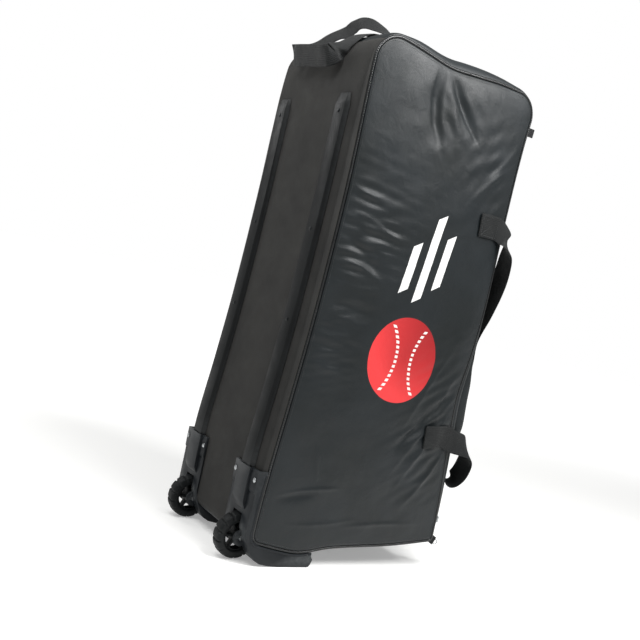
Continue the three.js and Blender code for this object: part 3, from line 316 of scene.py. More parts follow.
def side_surface(u, v, lift=0.0, seed=3):
    """Side panel: the patch pushed out by a crown that is 0 at the seams, the product of two
    flattened arches 4 s (1 - s), with its folds and slack, which fade out over the crown's edge."""
    u, v = np.broadcast_arrays(np.asarray(u, float), np.asarray(v, float))
    place = outline(u, v)
    crown = (4 * u * (1 - u)) ** 0.6 * (4 * v * (1 - v)) ** 0.5
    x, z = place[..., 0], place[..., 1]
    scale = [BAG_DEPTH, BAG_HEIGHT, BAG_DEPTH, BAG_HEIGHT, BAG_DEPTH, BAG_DEPTH, BAG_DEPTH]
    scaled = np.array(SIDE_FOLDS) * scale + [0, BODY_LEVEL, 0, BODY_LEVEL, 0, 0, 0]
    relief = (folds(x, z, scaled) + ripple(x, z, seed, 9, 60, 190, 0.55)
              + ripple(x, z, seed + 1, 9, 22, 50, 0.12))
    for k, (cx, cz, rx, rz, low, high, shortest, longest, height) in enumerate(BUNCHES):
        away = ((x / BAG_DEPTH - cx) / rx) ** 2 + (((z - BODY_LEVEL) / BAG_HEIGHT - cz) / rz) ** 2
        bunched = ripple(x, z, seed + 60 + k, 6, shortest, longest, height, low, high)
        relief = relief + np.exp(-away) * bunched
    out = crown * SIDE_BULGE + np.minimum(crown * 2, 1) * relief
    return np.stack([x, -CLOTH / 2 - out - lift, z], -1)


def band_surface(panel, u, v):
    """Band panel from seam to seam, with its folds and slack: u is an angle across the
    super-ellipse, v runs along, and the relief fades out towards all four edges."""
    length = SIDES[panel]["length"]
    trim = GAP / length
    at = trim + (1 - 2 * trim) * v
    row = smooth_table(SIDES[panel]["rows"], at)
    edge = np.arcsin((RIM_INSET / (row[..., 1] * BAG_DEPTH)) ** (row[..., 2] / 2))
    angle = edge + (np.pi - 2 * edge) * u
    y = BAG_WIDTH / 2 * (1 - squarish(np.cos(angle), 2 / row[..., 2]))
    fold = folds(at * length, y, [[r[0] * length, r[1], r[2] * length, *r[3:]] for r in BAND_FOLDS[panel]])
    slack = 0.0 if panel == BOARD else ripple(at * length, y, 20 + panel, 8, 45, 130, 0.4)
    inner = np.clip(np.minimum(y, BAG_WIDTH - y) / 25 - 0.3, 0, 1) * np.minimum(1, 12 * at * (1 - at))
    if panel == WHEEL:
        inner = inner * np.clip((0.66 - at) / 0.1, 0, 1)
    return band(panel, at, y, inner * (fold + slack)), np.stack([y, at * length], -1)


def pocket_rise(at, y):
    """Rise of the pocket over the lid: its table along the lid, times a super-ellipse of power 8
    across, which is flat with tight edges."""
    offset = np.minimum(np.abs(1 - 2 * (y - POCKET_EDGE) / (BAG_WIDTH - 2 * POCKET_EDGE)), 1)
    along = np.maximum(smooth_table(POCKET, at)[..., 0], 0)
    inside = (at > POCKET[0, 0]) & (at < POCKET[-1, 0])
    return np.where(inside, along * POCKET_RISE * (1 - offset**8) ** (1 / 8), 0)


# Materials. Colours are sRGB hex values
def linear(hex_colour):
    """Linear light of an sRGB value: v / 12.92 up to 0.04045, else ((v + 0.055) / 1.055) ** 2.4."""
    value = np.array([int(hex_colour[i:i + 2], 16) for i in (0, 2, 4)]) / 255
    return (*np.where(value <= 0.04045, value / 12.92, ((value + 0.055) / 1.055) ** 2.4), 1.0)


def add(tree, kind, inputs=(), out=0, **settings):
    """Adds one shader node and gives back one of its outputs. inputs holds values or other nodes'
    outputs, by the sockets' names or in their order."""
    made = tree.nodes.new("ShaderNode" + kind)
    for key, value in settings.items():
        setattr(made, key, value)
    for key, value in (inputs if isinstance(inputs, dict) else dict(enumerate(inputs))).items():
        if isinstance(value, bpy.types.NodeSocket):
            tree.links.new(value, made.inputs[key])
        else:
            made.inputs[key].default_value = value
    return made.outputs[out]


def start(name, **constants):
    """A new material with its tree and shader. Constants go onto the shader's own sockets."""
    material = bpy.data.materials.new(name)
    material.use_nodes = True
    tree = material.node_tree
    shader = tree.nodes["Principled BSDF"]
    for key, value in constants.items():
        shader.inputs[key.replace("_", " ")].default_value = value
    return material, tree, shader


def tint(tree, shader, coordinates, dark, light, size_mm):
    """Cloudy colour between two hex values, with patches of about size_mm."""
    noise = add(tree, "TexNoise", {"Vector": coordinates, "Scale": 1000 / size_mm, "Detail": 4})
    colour = add(tree, "ValToRGB", {"Fac": noise})
    for element, place, value in zip(colour.node.color_ramp.elements, (0.3, 0.7), (dark, light)):
        element.position, element.color = place, linear(value)
    tree.links.new(colour, shader.inputs["Base Color"])
    return colour


def rough(tree, shader, coordinates, low, high, size_mm):
    """Roughness between two values, in patches of about size_mm."""
    noise = add(tree, "TexNoise", {"Vector": coordinates, "Scale": 1000 / size_mm, "Detail": 5})
    spread = add(tree, "MapRange", {"Value": noise, "From Min": 0.3, "From Max": 0.7,
                                    "To Min": low, "To Max": high})
    tree.links.new(spread, shader.inputs["Roughness"])


def surface(name, on_cloth, colours, gloss, **constants):
    """A material with a cloudy colour and a patchy gloss, over the piece's flat coordinates or its
    own place. colours holds two hex values and gloss two roughnesses, each with a patch size in mm."""
    material, tree, shader = start(name, **constants)
    place = add(tree, "UVMap", uv_map="UVMap") if on_cloth else add(tree, "TexCoord", out="Object")
    base = tint(tree, shader, place, *colours)
    rough(tree, shader, place, *gloss)
    return material, tree, shader, place, base


def waves(tree, value, pitch_mm, phase=0.0):
    """Sine of a coordinate in metres: sin(2 pi x / pitch + phase)."""
    turn = add(tree, "Math", (value, 2000 * np.pi / pitch_mm, phase), operation="MULTIPLY_ADD")
    return add(tree, "Math", (turn,), operation="SINE")


def bump(tree, shader, place, heights):
    """Stacks bumps: rows of height, strength and distance in mm. A height is a node's output, or
    the settings of a noise over the given coordinates, whose Scale is its patches in a metre."""
    normal = None
    for height, strength, distance in heights:
        if isinstance(height, dict):
            height = add(tree, "TexNoise", {"Vector": place, **height})
        inputs = {"Height": height, "Strength": strength, "Distance": distance / 1000}
        if normal:
            inputs["Normal"] = normal
        normal = add(tree, "Bump", inputs)
    tree.links.new(normal, shader.inputs["Normal"])


def woven(tree, u, v, pitch_mm):
    """Plain weave: the product of two sets of threads, which is a checker of soft bumps."""
    return add(tree, "Math", (waves(tree, u, pitch_mm), waves(tree, v, pitch_mm)), operation="MULTIPLY")


def axes(tree, flat):
    """The two parts, u and v, of a piece's flat coordinates."""
    u = add(tree, "SeparateXYZ", (flat,))
    return u, u.node.outputs[1]


def within(tree, value, limit):
    """1 where a value in mm is under the limit, 0 past it, with a soft edge 0.8 mm wide."""
    return add(tree, "MapRange", {"Value": value, "From Min": limit + 0.4, "From Max": limit - 0.4})


def distance(tree, x, y):
    """Distance from a point: the root of x squared plus y squared."""
    squares = [add(tree, "Math", (axis, axis), operation="MULTIPLY") for axis in (x, y)]
    return add(tree, "Math", (add(tree, "Math", squares, operation="ADD"), 0.5), operation="POWER")


def band_around(tree, value, middle, half):
    """1 where a value in mm lies within half of the middle."""
    off = add(tree, "Math", (value, middle), operation="SUBTRACT")
    return within(tree, add(tree, "Math", (off,), operation="ABSOLUTE"), half)


def plain_print(tree, colour, u, v):
    """Screen print in one layer over the cloth: a red ball with two stitched arcs, and three
    slanted bars. Each edge is a distance in mm held against a limit."""
    across, up = (add(tree, "Math", (axis, 1000), operation="MULTIPLY") for axis in (u, v))
    dx, dz = (add(tree, "Math", (axis, middle), operation="SUBTRACT")
              for axis, middle in zip((across, up), BALL_MIDDLE))
    radius = distance(tree, dx, dz)
    # The red is deeper towards the lower left, like a ball lit from above
    deep = add(tree, "Math", (add(tree, "Math", (radius, 0.8), operation="MULTIPLY"),
                              add(tree, "Math", (dx, dz), operation="ADD")), operation="SUBTRACT")
    shade = add(tree, "MapRange", {"Value": deep, "From Min": -60, "From Max": 120})
    red = add(tree, "MixRGB", (shade, linear("8e1318"), linear("d8383a")))
    colour = add(tree, "MixRGB", (within(tree, radius, BALL_RADIUS), colour, red))
    for side in (-1, 1):
        arc = distance(tree, add(tree, "Math", (dx, side * 118), operation="SUBTRACT"), dz)
        dash = add(tree, "Math", (waves(tree, v, 9, 0.5), -0.2), operation="GREATER_THAN")
        mask = add(tree, "Math", (band_around(tree, arc, 100, 3.2), dash), operation="MULTIPLY")
        mask = add(tree, "Math", (mask, within(tree, radius, BALL_RADIUS - 6)), operation="MULTIPLY")
        colour = add(tree, "MixRGB", (mask, colour, linear("dcdad6")))
    for middle, low, high in BARS:
        lean = add(tree, "Math", (up, 590), operation="SUBTRACT")
        slant = add(tree, "Math", (lean, -0.12, across), operation="MULTIPLY_ADD")
        rest = add(tree, "Math", (across, middle), operation="SUBTRACT")
        cut = add(tree, "Math", (rest, -0.6, up), operation="MULTIPLY_ADD")
        inside = (band_around(tree, slant, middle, 9),
                  band_around(tree, cut, (low + high) / 2, (high - low) / 2))
        mask = add(tree, "Math", inside, operation="MULTIPLY")
        colour = add(tree, "MixRGB", (mask, colour, linear("e4e4e2")))
    return colour


def coated_polyester(name, printed):
    """Coated polyester: woven yarn under a thin glossy film, so highlights are soft but bright.
    The 0.6 mm yarn is drawn at 1.4 mm, as coarse as it needs to show."""
    material, tree, shader, flat, base = surface(
        name, True, ("0f1415", "181d20", 130), (0.4, 0.52, 60), IOR=1.5, Specular_IOR_Level=0.25,
        Coat_Weight=0.08, Coat_Roughness=0.28, Coat_IOR=1.5)
    u, v = axes(tree, flat)
    # Slack every 29 mm, a coarse grain of 4 mm in the coating, and the yarn
    bump(tree, shader, flat, [({"Scale": 34, "Detail": 3, "Distortion": 1.2}, 0.22, 3),
                              ({"Scale": 260, "Detail": 6, "Roughness": 0.65}, 0.2, 0.5),
                              (woven(tree, u, v, 1.4), 0.22, 0.15)])
    if printed:
        tree.links.new(plain_print(tree, base, u, v), shader.inputs["Base Color"])
    return material


def backed_polyester():
    """Dull polyester stretched over a stiff board: a dry, even cloth with a faint warm tone.
    Its 0.8 mm yarn is drawn at 1.8 mm, as coarse as it needs to show."""
    material, tree, shader, flat, _ = surface(
        "backed_polyester", True, ("1f1f1f", "282827", 90), (0.72, 0.86, 30), IOR=1.45,
        Specular_IOR_Level=0.2, Sheen_Weight=0.06, Sheen_Roughness=0.6, Sheen_Tint=linear("b8b4ac"))
    # Shallow dents every 45 mm, a dry nap of 2.4 mm, and the yarn
    bump(tree, shader, flat, [({"Scale": 22, "Detail": 3}, 0.12, 2), ({"Scale": 420, "Detail": 4}, 0.25, 0.4),
                              (woven(tree, *axes(tree, flat), 1.8), 0.4, 0.25)])
    return material


def webbing_polypropylene():
    """Woven polypropylene webbing: ribs of yarn along it, crossed every 2.2 mm, and a low sheen."""
    material, tree, shader, flat, _ = surface(
        "webbing_polypropylene", True, ("0e1011", "171919", 25), (0.5, 0.66, 12), IOR=1.49,
        Specular_IOR_Level=0.2, Sheen_Weight=0.05, Sheen_Roughness=0.45)
    u, v = axes(tree, flat)
    slanted = add(tree, "Math", (u, 0.9, v), operation="MULTIPLY_ADD")
    chevrons = add(tree, "Math", (waves(tree, slanted, 2.2), waves(tree, u, 3.2)), operation="MULTIPLY")
    bump(tree, shader, flat, [(waves(tree, u, 3.2, 1.0), 0.5, 0.35), (chevrons, 0.5, 0.3)])
    return material


def moulded_plastic(name, dark, light, low, high, grain_mm):
    """Injection-moulded plastic: spark-eroded grain, rubbed brighter where it is touched."""
    material, tree, shader, place, base = surface(
        name, False, (dark, light, 45), (low, high, 25), IOR=1.49, Specular_IOR_Level=0.16)
    # Worn edges, broken up by scuffs of 6 mm
    edge = add(tree, "NewGeometry", out="Pointiness")
    worn = add(tree, "MapRange", {"Value": edge, "From Min": 0.53, "From Max": 0.6, "To Max": 0.5})
    scuffs = add(tree, "TexNoise", {"Vector": place, "Scale": 160, "Detail": 6})
    mask = add(tree, "Math", (worn, scuffs), operation="MULTIPLY")
    tree.links.new(add(tree, "MixRGB", (mask, base, linear("6a6d6e"))), shader.inputs["Base Color"])
    bump(tree, shader, place, [(scuffs, 0.1, 0.5), ({"Scale": 1000 / grain_mm, "Detail": 3}, 0.3, 0.2)])
    return material


def piping_vinyl():
    """Extruded vinyl piping: smooth and glossy, with a slight wobble from the needle every 4 mm."""
    material, tree, shader, flat, _ = surface(
        "piping_vinyl", True, ("0c0e0f", "161819", 20), (0.26, 0.4, 15), IOR=1.53,
        Specular_IOR_Level=0.35, Coat_Weight=0.15, Coat_Roughness=0.2)
    bump(tree, shader, flat, [(waves(tree, axes(tree, flat)[1], 4.0), 0.35, 0.3)])
    return material


def small_trim(name, colours, gloss, marks, **constants):
    """Small trim: two close tones, a broken gloss and fine marks. marks holds how many go into a
    metre, so 900 is one every 1.1 mm, their detail, and the bump's strength and distance in mm."""
    material, tree, shader, place, _ = surface(name, False, colours, gloss, **constants)
    scale, detail, strength, reach = marks
    bump(tree, shader, place, [({"Scale": scale, "Detail": detail}, strength, reach)])
    return material


PRINTED_CLOTH = coated_polyester("coated_polyester_printed", True)
PLAIN_CLOTH = coated_polyester("coated_polyester", False)
BOARD_CLOTH = backed_polyester()
WEB = webbing_polypropylene()
RAIL_PLASTIC = moulded_plastic("rail_polypropylene", "0a0c0d", "111314", 0.4, 0.55, 1.2)
BRACKET_PLASTIC = moulded_plastic("bracket_polypropylene", "14171a", "1e2124", 0.34, 0.48, 1.0)
WHEEL_PLASTIC = moulded_plastic("wheel_polyurethane", "111314", "1b1d1e", 0.42, 0.58, 0.9)
PIPING = piping_vinyl()
# Zinc-plated steel is bright with rubbing marks, and blackened steel has a dark oxide
STEEL = small_trim("plated_steel", ("8d9092", "b5b8ba", 3), (0.22, 0.42, 2), (900, 3, 0.15, 0.1),
                   Metallic=1.0)
BLACK_STEEL = small_trim("blackened_steel", ("1c1e1f", "313435", 3), (0.35, 0.5, 2),
                         (900, 3, 0.15, 0.1), Metallic=1.0)
# Nylon coil and tape have a waxy shine, and twisted thread is a little lighter than the cloth
ZIP = small_trim("zip_nylon", ("0f1112", "191b1c", 8), (0.34, 0.5, 6), (800, 2, 0.25, 0.2),
                 IOR=1.53, Specular_IOR_Level=0.3)
THREAD = small_trim("sewing_thread", ("1a1d1f", "282b2d", 5), (0.5, 0.65, 3), (1500, 2, 0.3, 0.1),
                    IOR=1.53, Sheen_Weight=0.2)


def in_scene(name, data):
    """A new object at the origin, linked to the scene."""
    made = bpy.data.objects.new(name, data)
    bpy.context.scene.collection.objects.link(made)
    return made


def build(name, points, faces, material, body="bag", uv=None, smooth=True):
    """Makes a mesh object from points in mm and rows of corner numbers, turned to face outwards
    by the sign of its volume seen from the middle of the bag."""
    faces = [np.asarray(block) for block in (faces if isinstance(faces, list) else [faces])]
    volume = 0.0
    for block in faces:
        seen = points[block] - BODY_CENTRE
        for k in range(1, block.shape[1] - 1):
            volume += np.einsum("ij,ij->i", seen[:, 0], np.cross(seen[:, k], seen[:, k + 1])).sum()
    if volume < 0:
        faces = [block[:, ::-1] for block in faces]
    mesh = bpy.data.meshes.new(name)
    mesh.from_pydata(((points + SHIFT) / 1000).tolist(), [], sum((block.tolist() for block in faces), []))
    if uv is not None:
        corners = np.zeros(len(mesh.loops), int)
        mesh.loops.foreach_get("vertex_index", corners)
        layer = mesh.uv_layers.new(name="UVMap")
        layer.data.foreach_set("uv", (uv[corners] / 1000).astype(np.float32).ravel())
    if smooth:
        mesh.polygons.foreach_set("use_smooth", np.ones(len(mesh.polygons), bool))
    mesh.materials.append(material)
    piece = in_scene(name, mesh)
    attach(piece, body)
    return piece


def grid_faces(rows, columns, loop_rows=False, loop_columns=False, keep=None):
    """Quads of a grid of points, each from a point, the next in its row and the two in the next
    row, joined into loops where asked."""
    j, i = np.meshgrid(np.arange(rows - (not loop_rows)), np.arange(columns - (not loop_columns)),
                       indexing="ij")
    if keep is not None:
        j, i = j[keep], i[keep]
    j2, i2 = (j + 1) % rows, (i + 1) % columns
    quad = np.stack([j * columns + i, j * columns + i2, j2 * columns + i2, j2 * columns + i], -1)
    return quad.reshape(-1, 4)


def cord_rings(line, out, middle, half_out, half_y):
    """Rings of a cord along a line of x and z: ellipses of two half sizes, round a middle y."""
    angle = circle(12)
    x, z = (line[:, k, None] + out[:, k, None] * np.cos(angle) * half_out for k in (0, 1))
    return np.stack([x, np.broadcast_to(middle + half_y * np.sin(angle), x.shape), z], -1)


def sheet(name, points, uv, material, thickness, keep=None):
    """Cloth or board: a grid of points, given its thickness in mm inwards."""
    rows, columns = points.shape[:2]
    piece = build(name, points.reshape(-1, 3), grid_faces(rows, columns, keep=keep), material,
                  uv=uv.reshape(-1, 2))
    wall = piece.modifiers.new("Wall", "SOLIDIFY")
    wall.thickness, wall.offset, wall.use_even_offset = thickness / 1000, -1, False
    return piece


def tube(name, rings, uv, material, body="bag", loop=False):
    """Closed body through rings of equal counts, with flat caps unless it is a loop."""
    rows, columns = rings.shape[:2]
    faces = [grid_faces(rows, columns, loop_rows=loop, loop_columns=True)]
    if not loop:
        faces += [np.arange(columns)[None, ::-1], (rows - 1) * columns + np.arange(columns)[None]]
    uv = uv if uv is None else uv.reshape(-1, 2)
    return build(name, rings.reshape(-1, 3), faces, material, body, uv=uv)


def ribbon(name, path, wide, width, thickness=WEBBING):
    """Webbing: a flattened super-ellipse carried along a path, square to it."""
    ahead = unit(np.gradient(path, axis=0))
    across = unit(wide - ahead * np.sum(wide * ahead, axis=1, keepdims=True))
    face = np.cross(ahead, across)
    angle = circle(28)
    a = squarish(np.cos(angle), 0.45) * width / 2
    b = squarish(np.sin(angle), 0.6) * thickness / 2
    rings = path[:, None] + across[:, None] * a[:, None] + face[:, None] * b[:, None]
    uv = np.stack(np.broadcast_arrays(a[None] + width / 2, run_along(path)[:, None]), -1)
    return tube(name, rings, uv, WEB)


def stitches(name, lines, pitch=4.2, length=3.0, thick=0.7):
    """Rows of stitches: each is a small six-sided lozenge along its line, half sunk in the cloth.
    lines holds pairs of points and outward directions."""
    section = [[0.5, 0], [0, 0.6], [-0.5, 0], [0, -0.5]]
    template = np.array([[-0.5, 0, 0], *([x, *row] for x in (-0.25, 0.25) for row in section), [0.5, 0, 0]])
    points, count = [], 0
    for path, out in lines:
        run = run_along(path)
        spots = np.arange(pitch / 2, run[-1], pitch)
        place, lift = read_at(spots, run, path), unit(read_at(spots, run, out))
        ahead = unit(read_at(spots + 1, run, path) - read_at(spots - 1, run, path))
        beside = np.cross(lift, ahead)
        points.append(place[:, None] + template[:, :1] * length * ahead[:, None]
                      + template[:, 1:2] * thick * beside[:, None] + template[:, 2:] * thick * lift[:, None])
        count += len(spots)
    ring = [(1, 2), (2, 3), (3, 4), (4, 1)]
    triangles = [[0, a, b] for a, b in ring] + [[9, b + 4, a + 4] for a, b in ring]
    triangles += [t for a, b in ring for t in ([a, a + 4, b], [b, a + 4, b + 4])]
    faces = (np.array(triangles)[None] + 10 * np.arange(count)[:, None, None]).reshape(-1, 3)
    return outwards(build(name, np.concatenate(points).reshape(-1, 3), faces, THREAD))


def outwards(piece):
    """Turns the faces of a closed mesh to face out."""
    shell = bmesh.new()
    shell.from_mesh(piece.data)
    bmesh.ops.recalc_face_normals(shell, faces=shell.faces)
    shell.to_mesh(piece.data)
    shell.free()
    return piece


def on_side(points, end):
    """Points of the front piece of a pair, or their mirror image for the back one."""
    return points if end == "front" else points * [1, -1, 1] + [0, BAG_WIDTH, 0]


def finer(node, name, material, width):
    """Rigid moulding: a merged copy of the CAD node with its hard edges rounded to a width in mm."""
    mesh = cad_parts[node].data.copy()
    mesh.name = name
    shell = bmesh.new()
    shell.from_mesh(mesh)
    bmesh.ops.remove_doubles(shell, verts=shell.verts, dist=1e-5)
    bmesh.ops.dissolve_limit(shell, angle_limit=0.01, verts=shell.verts, edges=shell.edges)
    shell.to_mesh(mesh)
    shell.free()
    mesh.materials.clear()
    mesh.materials.append(material)
    piece = in_scene(name, mesh)
    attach(piece, "bag")
    round_off = piece.modifiers.new("Rounding", "BEVEL")
    round_off.width, round_off.segments, round_off.limit_method = width / 1000, 2, "ANGLE"
    round_off.angle_limit = np.radians(28)
    round_off.harden_normals = True
    mesh.polygons.foreach_set("use_smooth", np.ones(len(mesh.polygons), bool))
    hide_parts(node)
    return piece


def stands_for(piece, node):
    """The piece takes the place of a CAD node, which is hidden from view and render."""
    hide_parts(node)
    return piece


# Side panels, denser near the seams where the cloth turns
def mixed_steps(count):
    """Shares from 0 to 1, closer together at both ends: half even and half a cosine's."""
    even = np.linspace(0, 1, count)
    return 0.5 * ((1 - np.cos(np.pi * even)) / 2) + 0.5 * even


side_u, side_v = np.meshgrid(mixed_steps(150), mixed_steps(310))
STITCHES_FROM_SEAM, LINE_STEPS = 7, 260
inset_u, inset_v = STITCHES_FROM_SEAM / BAG_DEPTH, STITCHES_FROM_SEAM / BAG_HEIGHT
for end, seed, cloth in (("front", 3, PRINTED_CLOTH), ("back", 11, PLAIN_CLOTH)):
    points = side_surface(side_u, side_v, seed=seed)
    flat = points[..., [0, 2]]
    # Rows of top stitching just inside the piping
    run = np.linspace(0.012, 0.988, LINE_STEPS)
    rows = [(inset_u, run), (run, 1 - inset_v), (1 - inset_u, run), (run, inset_v)]
    lines = [on_side(side_surface(u, v, 0.2, seed), end) for u, v in rows]
    facing = np.array([[0, -1.0 if end == "front" else 1.0, 0]])
    panel = sheet(f"side_cloth_{end}", on_side(points, end), flat, cloth, CLOTH)
    stands_for(panel, f"side_panel_{end}")
    stitches(f"side_stitching_{end}", [(line, np.repeat(facing, LINE_STEPS, 0)) for line in lines])

# Band panels round the bag, with the number of grid points across and along each
for panel, name, node, cloth, thickness, across, along in (
        (BOARD, "board_cloth", "base_board", BOARD_CLOTH, BOARD_THICKNESS, 90, 300),
        (HANDLE, "handle_end_cloth", "handle_end_panel", PLAIN_CLOTH, CLOTH, 130, 150),
        (LID, "lid_cloth", "lid_panel", PLAIN_CLOTH, CLOTH, 130, 300),
        (WHEEL, "wheel_end_cloth", "wheel_end_panel", PLAIN_CLOTH, CLOTH, 110, 150)):
    u, v = np.meshgrid(np.linspace(0, 1, across), mixed_steps(along))
    points, flat = band_surface(panel, u, v)
    keep = None
    if panel in (BOARD, WHEEL):
        middle = (points[:-1, :-1] + points[1:, 1:]) / 2
        from_axle = np.hypot(middle[..., 0] + AXLE_SETBACK, middle[..., 2] - AXLE_HEIGHT)
        from_track = np.minimum(*(np.abs(middle[..., 1] - y) for y in TRACKS))
        keep = (from_axle > WELL_RADIUS + 5) | (from_track > WELL_HALF + 3)
    piece = stands_for(sheet(name, points, flat, cloth, thickness, keep), node)

# Piping: a round cord carried along all four seams
PIPING_STEPS = {BOARD: 170, HANDLE: 90, LID: 170, WHEEL: 90}
runs = [seam(panel, np.linspace(0, 1, count, endpoint=False)) for panel, count in PIPING_STEPS.items()]
seam_points, seam_outs = (np.concatenate(part) for part in zip(*runs))
rings = cord_rings(seam_points, seam_outs, 0, PIPING_RADIUS, PIPING_RADIUS)
uv = np.stack(np.broadcast_arrays(circle(12)[None] * PIPING_RADIUS, run_along(seam_points)[:, None]), -1)
for end in ENDS:
    stands_for(tube(f"piping_cord_{end}", on_side(rings, end), uv, PIPING, loop=True), f"piping_{end}")

# Pocket on the lid, stitched down along its two sides
u, v = np.meshgrid(np.linspace(0, 1, 100), mixed_steps(110))
at = POCKET[0, 0] + (POCKET[-1, 0] - POCKET[0, 0]) * v
pocket_half = BAG_WIDTH / 2 - POCKET_EDGE
y = BAG_WIDTH / 2 - pocket_half * squarish(np.cos(np.pi * u), 0.25)
slack = ripple(at * BAG_HEIGHT, y, 41, 8, 50, 120, 0.8) * pocket_rise(at, y) / POCKET_RISE
points = band(LID, at, y, GAP + CLOTH + pocket_rise(at, y) + slack)
pocket = sheet("pocket_cloth", points, np.stack([y, at * BAG_HEIGHT], -1), PLAIN_CLOTH, CLOTH)
stands_for(pocket, "lid_pocket")
at = POCKET[0, 0] + (POCKET[-1, 0] - POCKET[0, 0]) * np.linspace(0.06, 0.94, 120)
edges = [BAG_WIDTH / 2 - pocket_half * squarish(np.cos(np.pi * edge), 0.25) for edge in (0.035, 0.965)]
stitches("pocket_stitching", [(band(LID, at, y, GAP + CLOTH + pocket_rise(at, y) + 0.3),
                               np.repeat([[1.0, 0, 0]], 120, 0)) for y in edges])


def zip_row(name, path, beside, facing):
    """Zip teeth: small wedges in two rows that mesh, every 3 mm along a path."""
    ahead, run = unit(np.gradient(path, axis=0)), run_along(path)
    teeth = []
    for side, offset in ((-1, 0.0), (1, 1.5)):
        spots = np.arange(1 + offset, run[-1], 3.0)
        place, wide, lift, on = (read_at(spots, run, a) for a in (path, beside, facing, ahead))
        corners = np.array([[0, -0.9, 0.8], [3.4, -0.7, 0.8], [3.4, 0.7, 0.8], [0, 0.9, 0.8],
                            [0.2, -0.6, 2.3], [2.8, -0.5, 2.0], [2.8, 0.5, 2.0], [0.2, 0.6, 2.3]])
        corners = corners * [side, 1, 1] + [-0.6 * side, 0, 0]
        teeth.append(place[:, None] + corners[:, :1] * wide[:, None] + corners[:, 1:2] * on[:, None]
                     + corners[:, 2:] * lift[:, None])
    teeth = np.concatenate(teeth)
    wedge = np.array([[0, 1, 2, 3], [7, 6, 5, 4], [0, 4, 5, 1], [1, 5, 6, 2], [2, 6, 7, 3], [3, 7, 4, 0]])
    faces = (wedge[None] + 8 * np.arange(len(teeth))[:, None, None]).reshape(-1, 4)
    return outwards(build(name, teeth.reshape(-1, 3), faces, ZIP, smooth=False))


def facing_out(path, beside):
    """Direction out of the cloth under a path: square to the path and to the direction beside it."""
    facing = np.cross(beside, unit(np.gradient(path, axis=0)))
    return facing * np.sign(facing[:, :1])


def over_zip(at, offset=0.0):
    """Point of the lid on the zip's line, or an offset in mm beside it."""
    return band(LID, at, ZIP_FROM_SEAM + offset)


# Zip: a tape that follows the lid, and teeth along its middle
zip_at = np.linspace(0.07, 0.985, 500)
u, v = np.meshgrid(np.linspace(0, 1, 9), zip_at)
tape_y = 4.5 + 14 * u
sheet("zip_tape", band(LID, v, tape_y, 0.95), np.stack([tape_y, v * BAG_HEIGHT], -1), ZIP, TAPE)
middle, beside = over_zip(zip_at), unit(over_zip(zip_at, 1.0) - over_zip(zip_at, -1.0))
stands_for(zip_row("zip_teeth", middle, beside, facing_out(middle, beside)), "zip_chain")

# Zip across the pocket, just under its upper edge
pocket_y = np.linspace(POCKET_EDGE + 16, BAG_WIDTH - POCKET_EDGE - 16, 160)
lower_side, middle, upper_side = (band(LID, at, pocket_y, GAP + CLOTH + 0.1 + pocket_rise(at, pocket_y))
                                  for at in (0.598, 0.6, 0.602))
beside = unit(upper_side - lower_side)
facing = facing_out(middle, beside)
zip_row("pocket_zip_teeth", middle, beside, facing)
tape = np.stack([middle + beside * w + facing * 0.7 for w in np.linspace(-8, 8, 7)], 1)
uv = np.stack(np.broadcast_arrays(np.linspace(0, 16, 7)[None], pocket_y[:, None]), -1)
sheet("pocket_zip_tape", tape, uv, ZIP, TAPE)
for edge, side in (("upper", -10), ("lower", 10)):
    stitches(f"pocket_zip_stitching_{edge}", [(middle + beside * side + facing * 0.2, facing)], pitch=3.6)

# Folded webbing tabs at the zip's two ends: a loop of tape standing off the lid
for name, at in (("upper", 0.058), ("lower", 0.997)):
    base, wide = over_zip(at), unit(over_zip(at, 1.0) - over_zip(at, -1.0))
    forward = unit(over_zip(min(at + 1e-3, 1.0)) - over_zip(at - 1e-3))
    stand = np.cross(wide, forward)
    stand = stand * np.sign(stand[0])
    turn = np.linspace(0, np.pi, 24)
    arm = np.linspace(0, 1, 10)[:-1]
    upwards = 1.2 + 12.6 * arm
    rise = np.concatenate([upwards, 13.8 + 1.6 * np.sin(turn), upwards[::-1]])
    aside = np.concatenate([np.full(9, -0.8), -0.8 * np.cos(turn), np.full(9, 0.8)])
    path = base + rise[:, None] * stand + aside[:, None] * wide
    tab = ribbon(f"zip_tab_tape_{name}", path, np.repeat(forward[None], len(path), 0), TAB_WIDTH, TAB_TAPE)
    stands_for(tab, f"zip_tab_{name}")

# Split ring held in the lower tab's fold: a wire carried round a circle in the tab's plane
RING_RADIUS, WIRE_RADIUS, RING_RISE = 4.6, 0.75, 18.8
round_ring, round_wire = circle(48)[:, None, None], circle(12)[:, None]
from_middle = RING_RADIUS + WIRE_RADIUS * np.cos(round_wire)
rings = (base + RING_RISE * stand + from_middle * (np.cos(round_ring) * forward + np.sin(round_ring) * stand)
         + WIRE_RADIUS * np.sin(round_wire) * wide)
outwards(tube("zip_pull_ring", rings, None, STEEL, loop=True))

